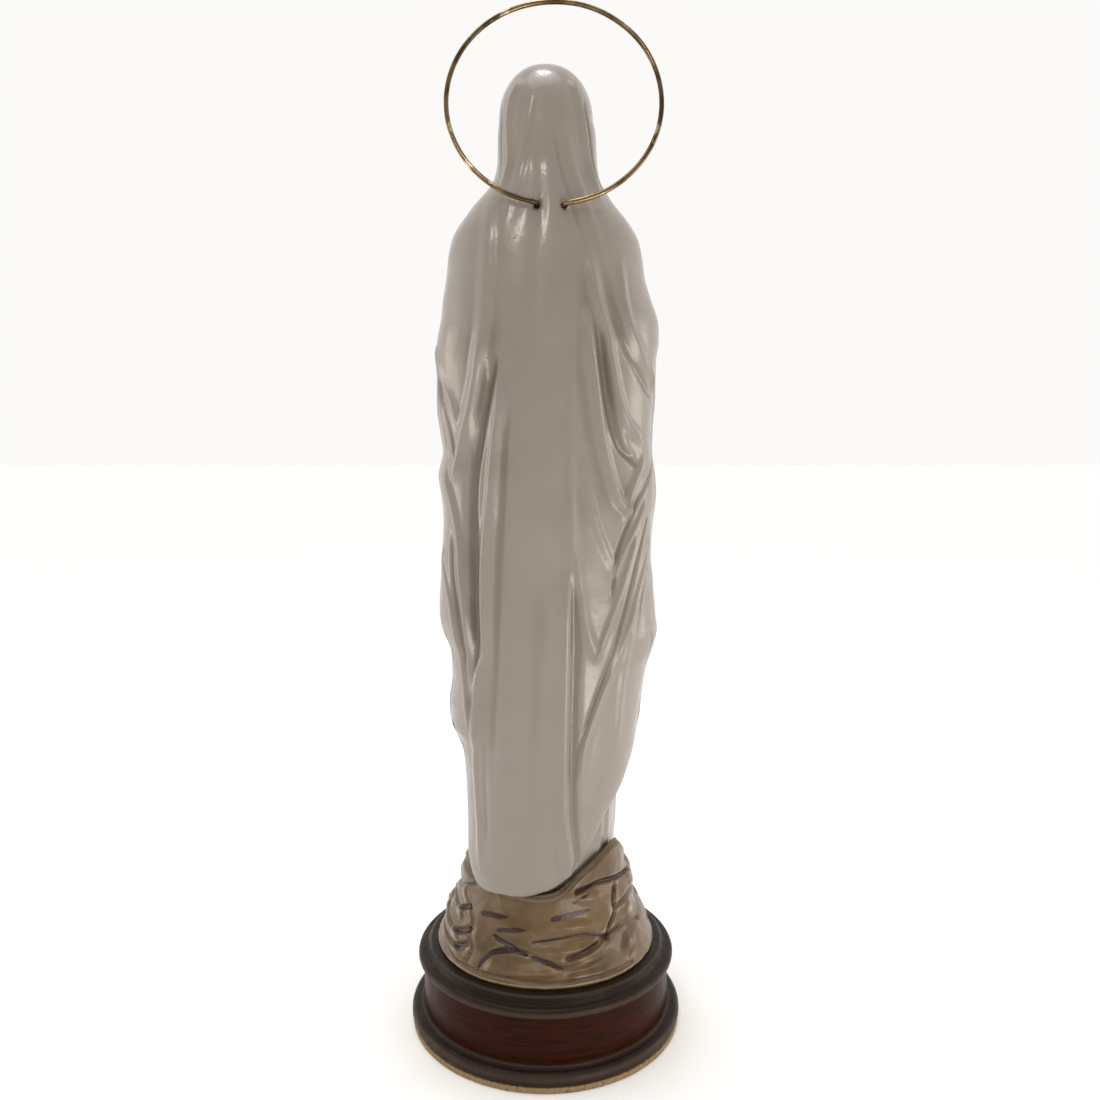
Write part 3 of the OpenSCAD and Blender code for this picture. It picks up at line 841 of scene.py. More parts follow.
def fold_field(drape, folds, t, z):
    """Rise of all the folds together at angles t and heights z."""
    s = drape.unroll(t, z)
    total = np.zeros_like(s)
    for f in folds:
        heights = np.array([p[0] for p in f["path"]], float)
        places = fold_places(drape, f)
        rows = list(zip(heights, places))
        low, high = heights[0], heights[-1]
        top_fade, low_fade = f["fades"]
        near = (z > low - low_fade) & (z < high + top_fade)
        zz, ss = z[near], s[near]
        centre = smooth_rows(rows, zz)[..., 0]
        slope_low = (places[1] - places[0]) / (heights[1] - heights[0])
        slope_high = (places[-1] - places[-2]) / (heights[-1] - heights[-2])
        # past its ends the path runs on straight
        below = np.where(zz < low, (zz - low) * slope_low, 0)
        above = np.where(zz > high, (zz - high) * slope_high, 0)
        centre += below + above
        tilt = smooth_rows(rows, zz + 1)[..., 0] - smooth_rows(rows, zz - 1)[..., 0]
        d = (ss - centre) / np.sqrt(1 + np.clip(tilt / 2, -4, 4) ** 2)
        left, right = f["widths"]
        fade = smooth_step(high + top_fade, high - top_fade * 0.5, zz)
        fade = fade * smooth_step(low - low_fade, low + low_fade * 0.5, zz)
        total[near] += f["rise"] * fade * profile(np.where(d > 0, d / left, d / right), f["sharp"])
    return total


def outward(p):
    """Unit normals of a grid of points, pointing away from the figure's axis."""
    return unit(np.cross(np.gradient(p, axis=1), np.gradient(p, axis=0)))


def blurred(field, reach):
    """Mean of a field over reach columns and half as many rows either side."""
    for axis, r in ((1, reach), (0, max(1, reach // 2))):
        first, last = np.take(field, [0] * r, axis), np.take(field, [-1] * r, axis)
        total = np.cumsum(np.concatenate([first, field, last], axis), axis)
        width = 2 * r + 1
        n = field.shape[axis]
        upper = np.take(total, range(width - 1, width - 1 + n), axis)
        none = np.zeros_like(np.take(total, [0], axis))
        lower = np.concatenate([none, np.take(total, range(0, n - 1), axis)], axis)
        field = (upper - lower) / width
    return field


# ---------------------------------------------------------------- the mantle

def weld(points, faces, snap=1e-4):
    """Joins points that lie together and drops corners that a face then repeats.

    Gives the points back with the faces and each point's old number.
    """
    keys = np.round(points / snap).astype(np.int64)
    _, first, new = np.unique(keys, axis=0, return_index=True, return_inverse=True)
    new = new.ravel()
    out = []
    for face in faces:
        loop = new[face]
        loop = [int(v) for k, v in enumerate(loop) if v != loop[k - 1]]
        if len(loop) > 2 and len(set(loop)) == len(loop):
            out.append(loop)
    return points[first], out, first


def roll(edge, away, inward, thick, steps=5):
    """Rows of points that roll an edge over through half a turn, thick across."""
    rows = []
    for k in range(1, steps + 1):
        a = math.pi * k / steps
        rows.append(edge + away * (thick / 2 * math.sin(a)) + inward * (thick / 2 * (1 - math.cos(a))))
    return rows


ARCH_FROM, ARCH_TOP = 309.0, 325.0
EDGE_GAP = [  # height, half of the opening in front, in degrees
    (50, 80), (100, 74), (138, 62), (180, 60), (215, 63), (240, 66), (256, 58), (270, 46),
    (280, 42), (290, 46), (300, 47), (309, 46), (334, 46),
]
MANTLE_HEM = [  # angle in degrees, height of the lower edge
    (-60, 151), (-32, 149), (-18, 145), (-8, 138), (-1, 128), (4, 110), (10, 104), (15, 96),
    (20, 72), (26, 62.5), (34, 58), (48, 56.4), (64, 56.2), (80, 57.4), (94, 60.4), (105, 64.6),
    (112, 68.2), (124, 74), (136, 80.6), (146, 87), (158, 94), (168, 104), (178, 126), (188, 143),
    (200, 150), (214, 153), (240, 155),
]
MEAN_HEM = 57
RIM = 1.7  # thickness of the cloth's rolled edges
VEIL_THICK = 2.2
GOLD_WIDTH = 1.7
GOLD_REACH = 90  # columns from each front edge that the gold line is looked for in


def front_gap(z):
    """Half of the opening in front at heights z, in radians, closing in an arch over the brow."""
    gap = smooth_rows(EDGE_GAP, z)[..., 0]
    u = np.clip((z - ARCH_FROM) / (ARCH_TOP - ARCH_FROM), 0, 1)
    return gap * np.sqrt(1 - u**2) * DEG


MANTLE = Drape(merged(WIDTHS, DEPTHS), 0.88, CROWN, DOME_FROM)

SIDE_FOLDS = [
    # soft hanging folds round the sides, and the waves of the two front edges
    fold([(232, 2), (200, -4), (168, -8)], 1.0, (3.5, 3.5), 0.3, (10, 12), True),
    fold([(226, -12), (196, -16), (160, -18)], -1.1, (3, 3), 0.2, (8, 10), True),
    fold([(222, -20), (190, -24), (156, -25)], 0.9, (2.6, 2.6), 0.3, (8, 6), True),
    fold([(230, 178), (200, 184), (168, 188)], 1.1, (3.5, 3.5), 0.3, (10, 12), True),
    fold([(226, 192), (196, 196), (160, 198)], -1.1, (3, 3), 0.2, (8, 10), True),
    fold([(220, 202), (190, 204), (158, 206)], 0.9, (2.6, 2.6), 0.3, (8, 6), True),
    fold([(292, -30), (282, -26), (268, -22), (252, -16)], 0.8, (2.4, 2.4), 0.3, (6, 8), True),
    fold([(292, 210), (282, 206), (268, 202), (252, 196)], 0.8, (2.4, 2.4), 0.3, (6, 8), True),
    fold([(318, -30), (306, -28), (292, -22)], 0.6, (2, 2), 0.3, (4, 6), True),
    fold([(318, 208), (306, 207), (292, 202)], 0.6, (2, 2), 0.3, (4, 6), True),
    fold([(150, -10), (128, -2), (112, 3)], 0.9, (2.6, 2.6), 0.4, (8, 6), True),
    fold([(150, 190), (128, 180), (112, 172)], 0.8, (2.6, 2.6), 0.4, (8, 6), True),
]


LEGS_X, LEG_GAP, LEG_Z = -1.7, 8.8, 284.0  # middle, spacing and height of the halo's legs
SOCKET_R, SOCKET_DEEP, SOCKET_LIP = 0.9, 3.0, 0.4


def sockets(p, hollow):
    """Sinks a hole for each leg of the halo into the nape."""
    p = p.copy()
    for side in (-1, 1):
        far = np.hypot(p[..., 0] - LEGS_X - side * LEG_GAP / 2, p[..., 2] - LEG_Z)
        inside = smooth_step(SOCKET_R + SOCKET_LIP, SOCKET_R - SOCKET_LIP / 2, far) * (p[..., 1] > 0)
        p[..., 1] -= SOCKET_DEEP * inside
        # the holes count as hollow too, so the paint darkens them as painted shade
        hollow = np.maximum(hollow, inside)
    return p, hollow


def mantle_angles(columns):
    """Shares of the way round from the left front edge, with more columns over the back."""
    u = np.linspace(0, 1, columns)
    return u - 0.055 * np.sin(2 * math.pi * u)


def mantle_places(columns, body_rows):
    """Angles and heights of the mantle's points, and the row from which it is closed in front."""
    share = mantle_angles(columns)
    around = np.linspace(-60, 240, 301)
    low = smooth_rows(MANTLE_HEM, around)[:, 0]
    arch_rows = ARCH_FROM + (ARCH_TOP - ARCH_FROM) * np.sin(np.linspace(0, math.pi / 2, 20))[1:]
    dome_rows = ARCH_TOP + (CROWN - ARCH_TOP) * np.sin(np.linspace(0, math.pi / 2, 18))[1:-1]
    t = np.zeros((0, columns))
    z = np.zeros((0, columns))
    for k in np.linspace(0, 1, body_rows):
        gap = front_gap(np.full(columns, MEAN_HEM + (ARCH_FROM - MEAN_HEM) * k))
        # the opening depends on the height, and the height on where the hem is, so it goes twice
        for _ in range(2):
            angle = -math.pi / 2 + gap + (2 * math.pi - 2 * gap) * share
            foot = np.interp(angle / DEG, around, low)
            height = foot + (ARCH_FROM - foot) * k
            gap = np.where(share < 0.5, front_gap(height[:1]), front_gap(height[-1:]))
        t, z = np.vstack([t, angle]), np.vstack([z, height])
    for height in np.concatenate([arch_rows, dome_rows]):
        gap = front_gap(np.full(columns, height)) if height < ARCH_TOP - 1e-6 else np.zeros(columns)
        t = np.vstack([t, -math.pi / 2 + gap + (2 * math.pi - 2 * gap) * share])
        z = np.vstack([z, np.full(columns, height)])
    return t, z, body_rows + len(arch_rows) - 1


def mantle_surface(t, z):
    """Points of the outer face with its folds, their normals, and how deep they lie in hollows."""
    p = MANTLE.base(t, z)
    n = outward(p)
    # the folds die out towards the top of the head
    rise = fold_field(MANTLE, BACK_FOLDS + SIDE_FOLDS, t, z)
    calm = smooth_step(CROWN - 1.5, CROWN - 9, z)
    rise *= smooth_step(CROWN - 4, CROWN - 12, z)
    swell = (0.22 * noise(p, 13, 5) + 0.1 * noise(p, 6, 9)) * calm
    # how deep each point lies between the folds; the paint darkens these places as painted shade
    hollow = np.clip((blurred(rise, 9) - rise) / 0.7, 0, 1) + np.clip(-rise / 5, 0, 0.5)
    hollow *= calm
    p = p + n * (rise + swell - 0.5 * np.exp(-(z - z[0]) / 1.2))[..., None]
    return p, outward(p), hollow


def gold_line(p, closed_from):
    """Strength of the gold line along the two front edges."""
    columns = p.shape[1]
    gold = np.zeros(p.shape[:2])
    for column in (0, columns - 1):
        line = p[: closed_from + 1, column]
        some = slice(0, GOLD_REACH) if column == 0 else slice(columns - GOLD_REACH, columns)
        for r in range(min(len(p), closed_from + 8)):
            gap = np.linalg.norm(p[r, some, None] - line[None, max(0, r - 24):r + 24], axis=-1).min(1)
            gold[r, some] = np.maximum(gold[r, some], np.clip(GOLD_WIDTH - gap, 0, 1))
    return gold


def build_mantle(columns=320, body_rows=228):
    """One closed cloth shell: outer face, rolled edges and a plain lining."""
    t, z, closed_from = mantle_places(columns, body_rows)
    p, n, hollow = mantle_surface(t, z)
    crown = np.array([[0, 0.6, CROWN]])
    gold = gold_line(p, closed_from)
    face, hollow = sockets(p, hollow)
    points = [face.reshape(-1, 3)]
    marks = [np.stack([hollow.ravel(), gold.ravel()], -1)]  # for each point: hollow and gold
    faces = grid_faces(len(p), columns).tolist()
    top = (len(p) - 1) * columns
    pole = len(p) * columns
    points.append(crown)
    marks.append([[0, 0]])
    faces += [[top + c, top + c + 1, pole] for c in range(columns - 1)]
    count = pole + 1

    def add(rows_of_points, deep=0.2, painted=0.0):
        """Adds rows of points with one mark and gives the first one's number back; deep is how much the
        paint darkens them as painted shade.
        """
        nonlocal count
        start = count
        points.extend(rows_of_points)
        marks.extend([np.tile([deep, painted], (len(r), 1)) for r in rows_of_points])
        count += sum(len(r) for r in rows_of_points)
        return start

    inward = -n
    # hem
    hem_rows = roll(p[0], np.tile([0, 0, -1.0], (columns, 1)), inward[0], RIM)
    hem = add(hem_rows, 0.5)
    ring = [np.arange(columns)] + [hem + k * columns + np.arange(columns) for k in range(len(hem_rows))]
    for a, b in zip(ring, ring[1:]):
        faces += [[a[c + 1], a[c], b[c], b[c + 1]] for c in range(columns - 1)]
    hem_inner = ring[-1]
    # front edges
    sides = []
    for column, way in ((0, -1), (columns - 1, 1)):
        line = p[: closed_from + 1, column]
        along = unit(np.gradient(line, axis=0))
        face_in = inward[: closed_from + 1, column]
        away = unit(np.cross(along, face_in)) * -way
        rolled = roll(line, away, face_in, RIM)
        start = add(rolled[:3], painted=1.0)
        add(rolled[3:])
        m = closed_from + 1
        strip = [np.arange(m) * columns + column]
        strip += [start + k * m + np.arange(m) for k in range(len(rolled))]
        for a, b in zip(strip, strip[1:]):
            for r in range(m - 1):
                quad = [a[r], a[r + 1], b[r + 1], b[r]]
                faces.append(quad if way < 0 else quad[::-1])
        corner = [a[0] for a in strip] + [h[column] for h in ring[1:][::-1]]
        faces.append(corner if way > 0 else corner[::-1])
        sides.append(strip[-1])
    # lining, on a coarse ladder of rows between the two rolled edges
    ladder = sorted(set(range(0, closed_from, 16)) | {closed_from})
    from_edge = np.minimum(np.arange(columns), columns - 1 - np.arange(columns))
    inset = RIM + 2.6 * smooth_step(0, 10, from_edge)
    previous = None
    for r in ladder:
        if r == 0:
            row = hem_inner
        else:
            start = add([p[r] + inward[r] * inset[:, None]], 0.2)
            row = start + np.arange(columns)
        row = row.copy()
        row[0], row[-1] = sides[0][r], sides[1][r]
        if previous is not None:
            r0, old = previous
            faces += [[old[c + 1], old[c], row[c], row[c + 1]] for c in range(1, columns - 2)]
            for side, near, far, way in ((sides[0], old[1], row[1], 1), (sides[1], old[-2], row[-2], -1)):
                middle = (r0 + r) // 2
                fan = [[side[k], side[k + 1], near] for k in range(r0, middle)]
                fan += [[side[middle], far, near]]
                fan += [[side[k], side[k + 1], far] for k in range(middle, r)]
                faces += [f if way > 0 else f[::-1] for f in fan]
        previous = (r, row)
    last = previous[1]
    for r in range(closed_from + 4, len(p), 5):
        start = add([p[r] + inward[r] * VEIL_THICK], 0.4)
        row = start + np.arange(columns)
        faces += [[last[c + 1], last[c], row[c], row[c + 1]] for c in range(columns - 1)]
        last = row
    inner_pole = add([crown - [[0, 0, VEIL_THICK]]], 0.4)
    faces += [[last[c + 1], last[c], inner_pole] for c in range(columns - 1)]

    marks = np.vstack(marks)
    welded, faces, first = weld(np.vstack(points), faces)
    piece = make_mesh("mantle_cloth", welded, faces)
    set_value(piece, "hollow", marks[first, 0])
    set_value(piece, "edge", marks[first, 1])
    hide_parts("mantle")
    return piece


WHITE = gold_edge(white_paint()).done()
mantle = build_mantle()
mantle.data.materials.append(WHITE)


# ---------------------------------------------------------------- the plinth

def rounded(points, r, steps=5):
    """An outline of (radius, height) with all corners but its two ends rounded by r."""
    out = [points[0]]
    for a, b, c in zip(points, points[1:], points[2:]):
        a, b, c = map(np.array, (a, b, c))
        u, v = (a - b) / np.linalg.norm(a - b), (c - b) / np.linalg.norm(c - b)
        reach = min(r, np.linalg.norm(a - b) * 0.45, np.linalg.norm(c - b) * 0.45)
        start, end = b + u * reach, b + v * reach
        for k in range(steps + 1):
            w = k / steps
            out.append(tuple((1 - w) ** 2 * start + 2 * w * (1 - w) * b + w**2 * end))
    out.append(points[-1])
    return out


def turned(name, node, outline, material, highlight_spots=()):
    """A turned piece of the plinth; its last argument lists (radius, height, reach) of edges painted paler
    as highlights.
    """
    piece = lathe(name, outline)
    heights = np.array([v.co.z for v in piece.data.vertices]) / MM
    radii = np.array([math.hypot(v.co.x, v.co.y) for v in piece.data.vertices]) / MM
    # painted highlight: paler where these edges catch the light
    edge_highlight = np.zeros(len(heights))
    for r, z, reach in highlight_spots:
        edge_highlight = np.maximum(edge_highlight, np.exp(-((heights - z) ** 2 + (radii - r) ** 2) / reach**2))
    set_value(piece, "edge_highlight", edge_highlight)
    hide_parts(node)
    piece.data.materials.append(material)
    return piece


SCREW_HOLE_R = 2.8
EDGE_IN = 0.1  # how far a flat face's first corner is from the screw's hole


def build_plinth():
    pad_high = side_mm("base_pad")[1]
    base_low, base_high = side_mm("base_moulding")
    drum_low, drum_high = side_mm("plinth_drum")
    ledge_low, ledge_high = side_mm("top_moulding")
    pad_r, base_r, drum_r, ledge_r = pad_high[0], base_high[0], drum_high[0], ledge_high[0]
    black, red = lacquer().done(), mahogany().done()
    hole = SCREW_HOLE_R

    pad_top = pad_high[2]
    disc = [(0, 0)] + rounded([(0.01, 0), (pad_r, 0), (pad_r, pad_top), (0, pad_top)], 0.3)
    turned("pad", "base_pad", disc, cork().done())

    # lower moulding: rounded off below, a quarter round above and a thin bead against the drum
    foot_low, foot_top = base_low[2], base_high[2]
    small, quarter, fillet = 1.8, 2.4, 0.4
    flat = [(hole + EDGE_IN, foot_low), (base_r - 1.4, foot_low), (base_r - 1.4, foot_low + 0.01)]
    foot = (
        [(hole, foot_low)]
        + rounded(flat, 0.05, 2)
        + arc(base_r - small, foot_low + small, small, -80, 0, 8)
        + arc(base_r - quarter, foot_top - 3.1, quarter, 0, 84, 12)
        + [(drum_r + 1.1, foot_top - 0.75)]
        + arc(drum_r + 0.65, foot_top - fillet, fillet, -20, 90, 6)
        + [(hole, foot_top)]
    )
    turned("foot_moulding", "base_moulding", foot, black,
           [(base_r, foot_low + 3, 1.6), (drum_r + 0.8, foot_top, 0.8)])

    # drum, a hair fuller at its middle
    low, top = drum_low[2], drum_high[2]
    wall = [(hole, low), (drum_r - 0.3, low), (drum_r, low + 0.5), (drum_r + 0.12, (low + top) / 2),
            (drum_r, top), (hole, top)]
    turned("drum", "plinth_drum", rounded(wall, 0.4), red, [(drum_r, low, 0.7)])

    # upper moulding: a bead, a groove over it and a rounded step
    ledge_foot, ledge_top = ledge_low[2], ledge_high[2]
    bead, groove, step = 1.9, 0.5, 1.3
    ledge = (
        [(hole, ledge_foot), (ledge_r - bead - 0.6, ledge_foot)]
        + arc(ledge_r - bead, ledge_foot + bead + 0.15, bead, -96, 78, 18)
        + arc(ledge_r - 2.5, ledge_foot + 4.35, groove, -100, -190, 5)
        + arc(ledge_r - 3.9 - step, ledge_top - step, step, 0, 90, 8)
        + [(hole, ledge_top)]
    )
    turned("ledge_moulding", "top_moulding", ledge, black,
           [(ledge_r, ledge_foot + 2, 1.4), (ledge_r - 4, ledge_top, 1.0)])


build_plinth()


# ---------------------------------------------------------------- the rock

ROCK_SECTIONS = [  # height, reach to the left, right, back and front
    (29.5, 38.6, 38.6, 38.6, 38.8), (30.6, 39.2, 39.1, 39.2, 39.2), (31.8, 38.6, 38.6, 38.8, 38.8),
    (34, 37.7, 37.6, 38.0, 38.6), (37, 37.0, 36.6, 37.2, 38.2), (40.2, 36.0, 35.2, 35.8, 37.6),
    (42.4, 34.6, 33.6, 34.6, 37.2), (44.7, 33.4, 32.4, 33.8, 36.8), (47, 32.5, 32.2, 33.2, 36.4),
    (49.3, 31.6, 31.8, 32.6, 36), (51.5, 30.9, 31.2, 32, 36.2), (53.8, 30.4, 30.4, 31.4, 36),
    (56.1, 30.2, 29.4, 30.8, 35.8), (58.5, 29.8, 28.6, 30.2, 35.2), (64, 28.4, 28.4, 29.6, 30),
    (76, 26, 27.4, 29, 27),
]
ROCK_TOP = [  # angle in degrees, height of its upper edge
    (-90, 57.9), (-40, 58.5), (0, 60), (60, 58.6), (98, 58.8), (106, 61.4), (114, 64), (124, 66.6),
    (133, 68.4), (142, 69.8), (151, 70.6), (159, 70), (168, 66.6), (180, 61.6), (220, 58.5),
    (270, 57.9),
]
CRACKS = [  # x and height of points along a groove on the back, depth, half width
    ([(17.5, 43.5), (11, 42), (5.5, 40.5)], 0.8, 1.3),
    ([(23, 33), (19, 38), (12.5, 40.3), (6.5, 40.2)], 0.9, 1.3),
    ([(4.5, 40), (-1, 38), (-6.5, 36.5)], 0.9, 1.4),
    ([(-7.5, 38.6), (-14, 40), (-20, 42.4)], 1.1, 1.5),
    ([(4.5, 43.2), (-4, 44.2), (-12.5, 44.6), (-20, 42.6)], 0.7, 1.2),
    ([(-24, 56), (-23.4, 52), (-24, 49.5), (-22, 45), (-21, 42)], 1.4, 1.5),
    ([(-21, 42.6), (-26, 43.6), (-33, 41)], 0.9, 1.2),
    ([(-24, 49.5), (-29, 50.6), (-33.5, 49)], 1.3, 1.4),
    ([(-10.5, 58), (-17, 59.4), (-24, 58), (-29.5, 55.4)], 1.7, 1.3),
    ([(34, 47.4), (30, 46.2), (26, 48.8)], 1.3, 1.3),
    ([(35.4, 41.4), (31, 40.2), (26, 42.6)], 1.3, 1.3),
    ([(36.6, 37), (32, 35.6), (26.5, 38.6)], 1.3, 1.3),
    ([(36, 52), (31, 51.6), (26, 55), (23, 58)], 1.0, 1.3),
    ([(26, 48.8), (24.6, 44), (26, 42.6), (24.5, 38), (26.5, 34)], 0.7, 1.6),
    ([(30, 31.9), (12, 32.4), (0, 31.9), (-14, 32.2), (-30, 31.8)], 0.7, 0.8),
]
LOBES = [  # x, height, half width, half height, tilt in degrees, rise
    (3, 35.2, 15, 2.9, -3, 1.4), (-15, 38, 10, 2.8, -12, 1.4), (-28.5, 46.4, 4.6, 3, 4, 1.5),
    (-30, 53.4, 5, 3.6, 20, 1.3), (-29, 37.6, 5.5, 4, 10, 1.1), (9.5, 47.4, 14, 3.4, 4, 0.5),
    (-9, 47.6, 12, 2.8, 3, 0.9), (28, 51, 4.6, 2, 24, 1.0), (30, 45, 5, 2.2, 20, 1.2),
    (31.6, 38.8, 5, 2.2, 20, 1.3), (31, 33.8, 8, 2.6, 8, 1.2), (16, 41.6, 6, 2.4, -14, 0.6),
    (-4, 41.4, 9, 2.2, 4, 0.7), (-16, 55.4, 9, 2.6, 6, 0.9), (-14, 33.2, 14, 2, 2, 0.8),
    (19, 35, 5, 2.6, -30, 0.7),
]
STROKES = [  # x and height of points along a dark brush stroke on the back, half width
    ([(21.5, 49), (17, 49.8), (12.5, 50.2)], 1.0), ([(-2.5, 50.6), (-8, 51.4), (-15, 52)], 1.0),
    ([(16, 45.6), (11, 46.6), (6.5, 47)], 0.85), ([(17.5, 43.6), (11.5, 41.8), (5.5, 39.6)], 0.8),
    ([(23, 33), (19, 38), (12.5, 40.6), (6.5, 39.8)], 0.6),
    ([(18, 39), (14, 40.4), (9, 40.4)], 1.0), ([(4.5, 39.4), (-1, 37.8), (-6.5, 35.8)], 0.7),
    ([(-7.5, 38.6), (-14, 40.4), (-20, 42.4)], 0.45),
    ([(4.5, 43.4), (-4, 44.4), (-12.5, 44.8), (-20, 42.8)], 0.35),
    ([(-24, 56), (-24.4, 53.5)], 0.7), ([(-23.6, 49.8), (-24.6, 49.2)], 0.9),
    ([(-23.4, 49), (-21, 42)], 0.5), ([(-21, 42.6), (-27, 43.8)], 0.4),
    ([(-29.6, 36), (-29, 32.6)], 0.6),
    ([(-11, 58.4), (-17, 59.6), (-24, 58.2), (-29.5, 55.4)], 0.7), ([(-9, 55), (-15, 57.2)], 0.4),
    ([(31, 46), (28, 46.8), (26, 48.6)], 0.7), ([(32.4, 40), (28, 40.4), (26, 42.2)], 0.7),
    ([(33, 36), (29, 35.6), (26.5, 37.6)], 0.6), ([(28, 54), (30.4, 56.6)], 0.5),
    ([(26, 36.2), (24.6, 36)], 0.6),
]


def near_line(s, z, line):
    """Distance to a line of (length, height) points."""
    best = np.full(s.shape, 1e9)
    for (s0, z0), (s1, z1) in zip(line, line[1:]):
        u = np.clip(((s - s0) * (s1 - s0) + (z - z0) * (z1 - z0)) / ((s1 - s0) ** 2 + (z1 - z0) ** 2), 0, 1)
        best = np.minimum(best, np.hypot(s - s0 - u * (s1 - s0), z - z0 - u * (z1 - z0)))
    return best


def across_back(drape, line):
    """Smooth line of (unrolled length, height) through (x, height) points on the back."""
    out = []
    for x, z in line:
        angles, xs, length = drape.along(z)
        back = (angles >= 0) & (angles <= math.pi)
        order = np.argsort(xs[back])
        out.append((float(np.interp(x, xs[back][order], length[back][order])), z))
    return curve([(a, b, 0) for a, b in out], 4 * len(out))[:, :2].tolist()


def cells(s, z, seed, wide=21.0, tall=7.5):
    """Distance to the borders of leaning, brick-like cells, for the sides and the front."""
    q = np.stack([s / wide, (z + 0.16 * s) / tall], -1)
    base = np.floor(q).astype(np.int64)
    first = np.full(s.shape, 9.0)
    second = np.full(s.shape, 9.0)
    for i in (-1, 0, 1):
        for j in (-1, 0, 1):
            cell = base + [i, j]
            zero = np.zeros_like(cell[..., 0])
            at = cell + np.stack([hashed(cell[..., 0], cell[..., 1], zero, seed + k) for k in (0, 1)], -1)
            d = np.linalg.norm(q - at, axis=-1)
            second = np.minimum(second, np.maximum(first, d))
            first = np.minimum(first, d)
    return np.clip(second - first, 0, 1)


def carved_back(rock, s, z):
    """Rise of the lobes and cracks on the back of the rock."""
    rise = np.zeros_like(s)
    for x, height, half_width, half_height, tilt, lift in LOBES:
        s0 = across_back(rock, [(x, height), (x + 0.1, height)])[0][0]
        c, d = math.cos(tilt * DEG), math.sin(tilt * DEG)
        u = ((s - s0) * c + (z - height) * d) / half_width
        v = (-(s - s0) * d + (z - height) * c) / half_height
        r = np.clip(np.hypot(u, v), 0, 1)
        rise += lift * (1 - r**2) ** 2
    for line, depth, half_width in CRACKS:
        d = near_line(s, z, across_back(rock, line))
        rise -= depth * profile(d / half_width, 0.25)
    return rise


def painted_back(rock, s, z):
    """Strength of the dark brush strokes on the back of the rock."""
    stroke = np.zeros_like(s)
    for line, half_width in STROKES:
        path = across_back(rock, line)
        d = near_line(s, z, path)
        first, last = (np.hypot(s - end[0], z - end[1]) for end in (path[0], path[-1]))
        # the brush comes down full and lifts off thin
        width = half_width * np.clip(0.55 + first / 2.5, 0, 1.1) * np.clip(0.25 + last / 4, 0, 1)
        stroke = np.maximum(stroke, np.clip(1.5 - d / width, 0, 1))
    return stroke


def build_rock(columns=420, rows=96):
    rock = Drape(ROCK_SECTIONS, 0.97)
    turn = np.linspace(-math.pi / 2, 1.5 * math.pi, columns, endpoint=False)
    t = np.tile(turn, (rows, 1))
    top = smooth_rows(ROCK_TOP, np.degrees(t[0]))[:, 0]
    z = PLINTH_TOP + (top - PLINTH_TOP) * np.linspace(0, 1, rows)[:, None]
    s = rock.unroll(t, z)
    p = rock.base(t, z)
    behind = smooth_step(-4, 6, p[..., 1])
    border = cells(s, z, 3)
    small = cells(s + 4, z, 8, 8, 4)
    blocks = 1.5 * smooth_step(0, 0.5, border) - 1.0 + 0.4 * smooth_step(0, 0.6, small) - 0.2
    foot = smooth_step(PLINTH_TOP + 1.6, PLINTH_TOP + 4, z)
    rise = carved_back(rock, s, z) * behind + blocks * (1 - behind) * foot
    rise += 0.35 * noise(p, 8, 2) * foot + 0.12 * noise(p, 3, 4)
    slope = smooth_step(0.0, 1.0, (top - z) / 3.0)
    n = outward(np.concatenate([p, p[:, :1]], 1))[:, :-1]
    q = p + n * (rise * np.clip(slope + 0.3, 0, 1))[..., None]
    q -= n * (1.6 * (1 - slope) ** 2)[..., None]
    q[0, :, 2] = PLINTH_TOP
    # hollow and crest mark where the paint lays painted shade and painted highlights
    far = blurred(rise, 7)
    hollow = np.clip((far - rise) / 0.9, 0, 1)
    crest = np.clip((rise - far) / 0.8, 0, 1)
    stroke = painted_back(rock, s, z) * behind
    marks = smooth_step(0.16, 0.04, border) * (noise(p, 9, 12) > 0.05) * (1 - behind) * foot
    stroke = np.maximum(stroke, marks * 0.8)
    # a pale line along the rim, a painted highlight on its rounded edge
    lip = np.exp(-(((z - 30.7) / 0.5) ** 2))
    crest = np.maximum(crest, 0.7 * lip)

    # the top is drawn in under the dress
    rings = [q]
    for share, drop in ((0.93, 0.1), (0.8, 0.3), (0.6, 1.5), (0.3, 3.0)):
        ring = q[-1].copy()
        ring[:, :2] *= share
        ring[:, 2] = np.minimum(ring[:, 2] - drop, 59.5 - drop)
        rings.append(ring[None])
    grid = np.concatenate(rings)
    points = np.vstack([grid.reshape(-1, 3), [[0, 0, 55]], [[0, 0, PLINTH_TOP]]])
    faces = grid_faces(len(grid), columns, around=True).tolist()
    last = (len(grid) - 1) * columns
    faces += [[last + c, last + (c + 1) % columns, len(points) - 2] for c in range(columns)]
    faces += [[(c + 1) % columns, c, len(points) - 1] for c in range(columns)]
    piece = make_mesh("rock_base", points, faces)
    spare = len(points) - q.shape[0] * columns
    for name, field in (("hollow", hollow), ("crest", crest), ("stroke", stroke)):
        set_value(piece, name, np.concatenate([field.ravel(), np.full(spare, 0.3)]))
    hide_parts("rock")
    piece.data.materials.append(rock_paint().done())


build_rock()


# ---------------------------------------------------------------- the dress, sash and rosary

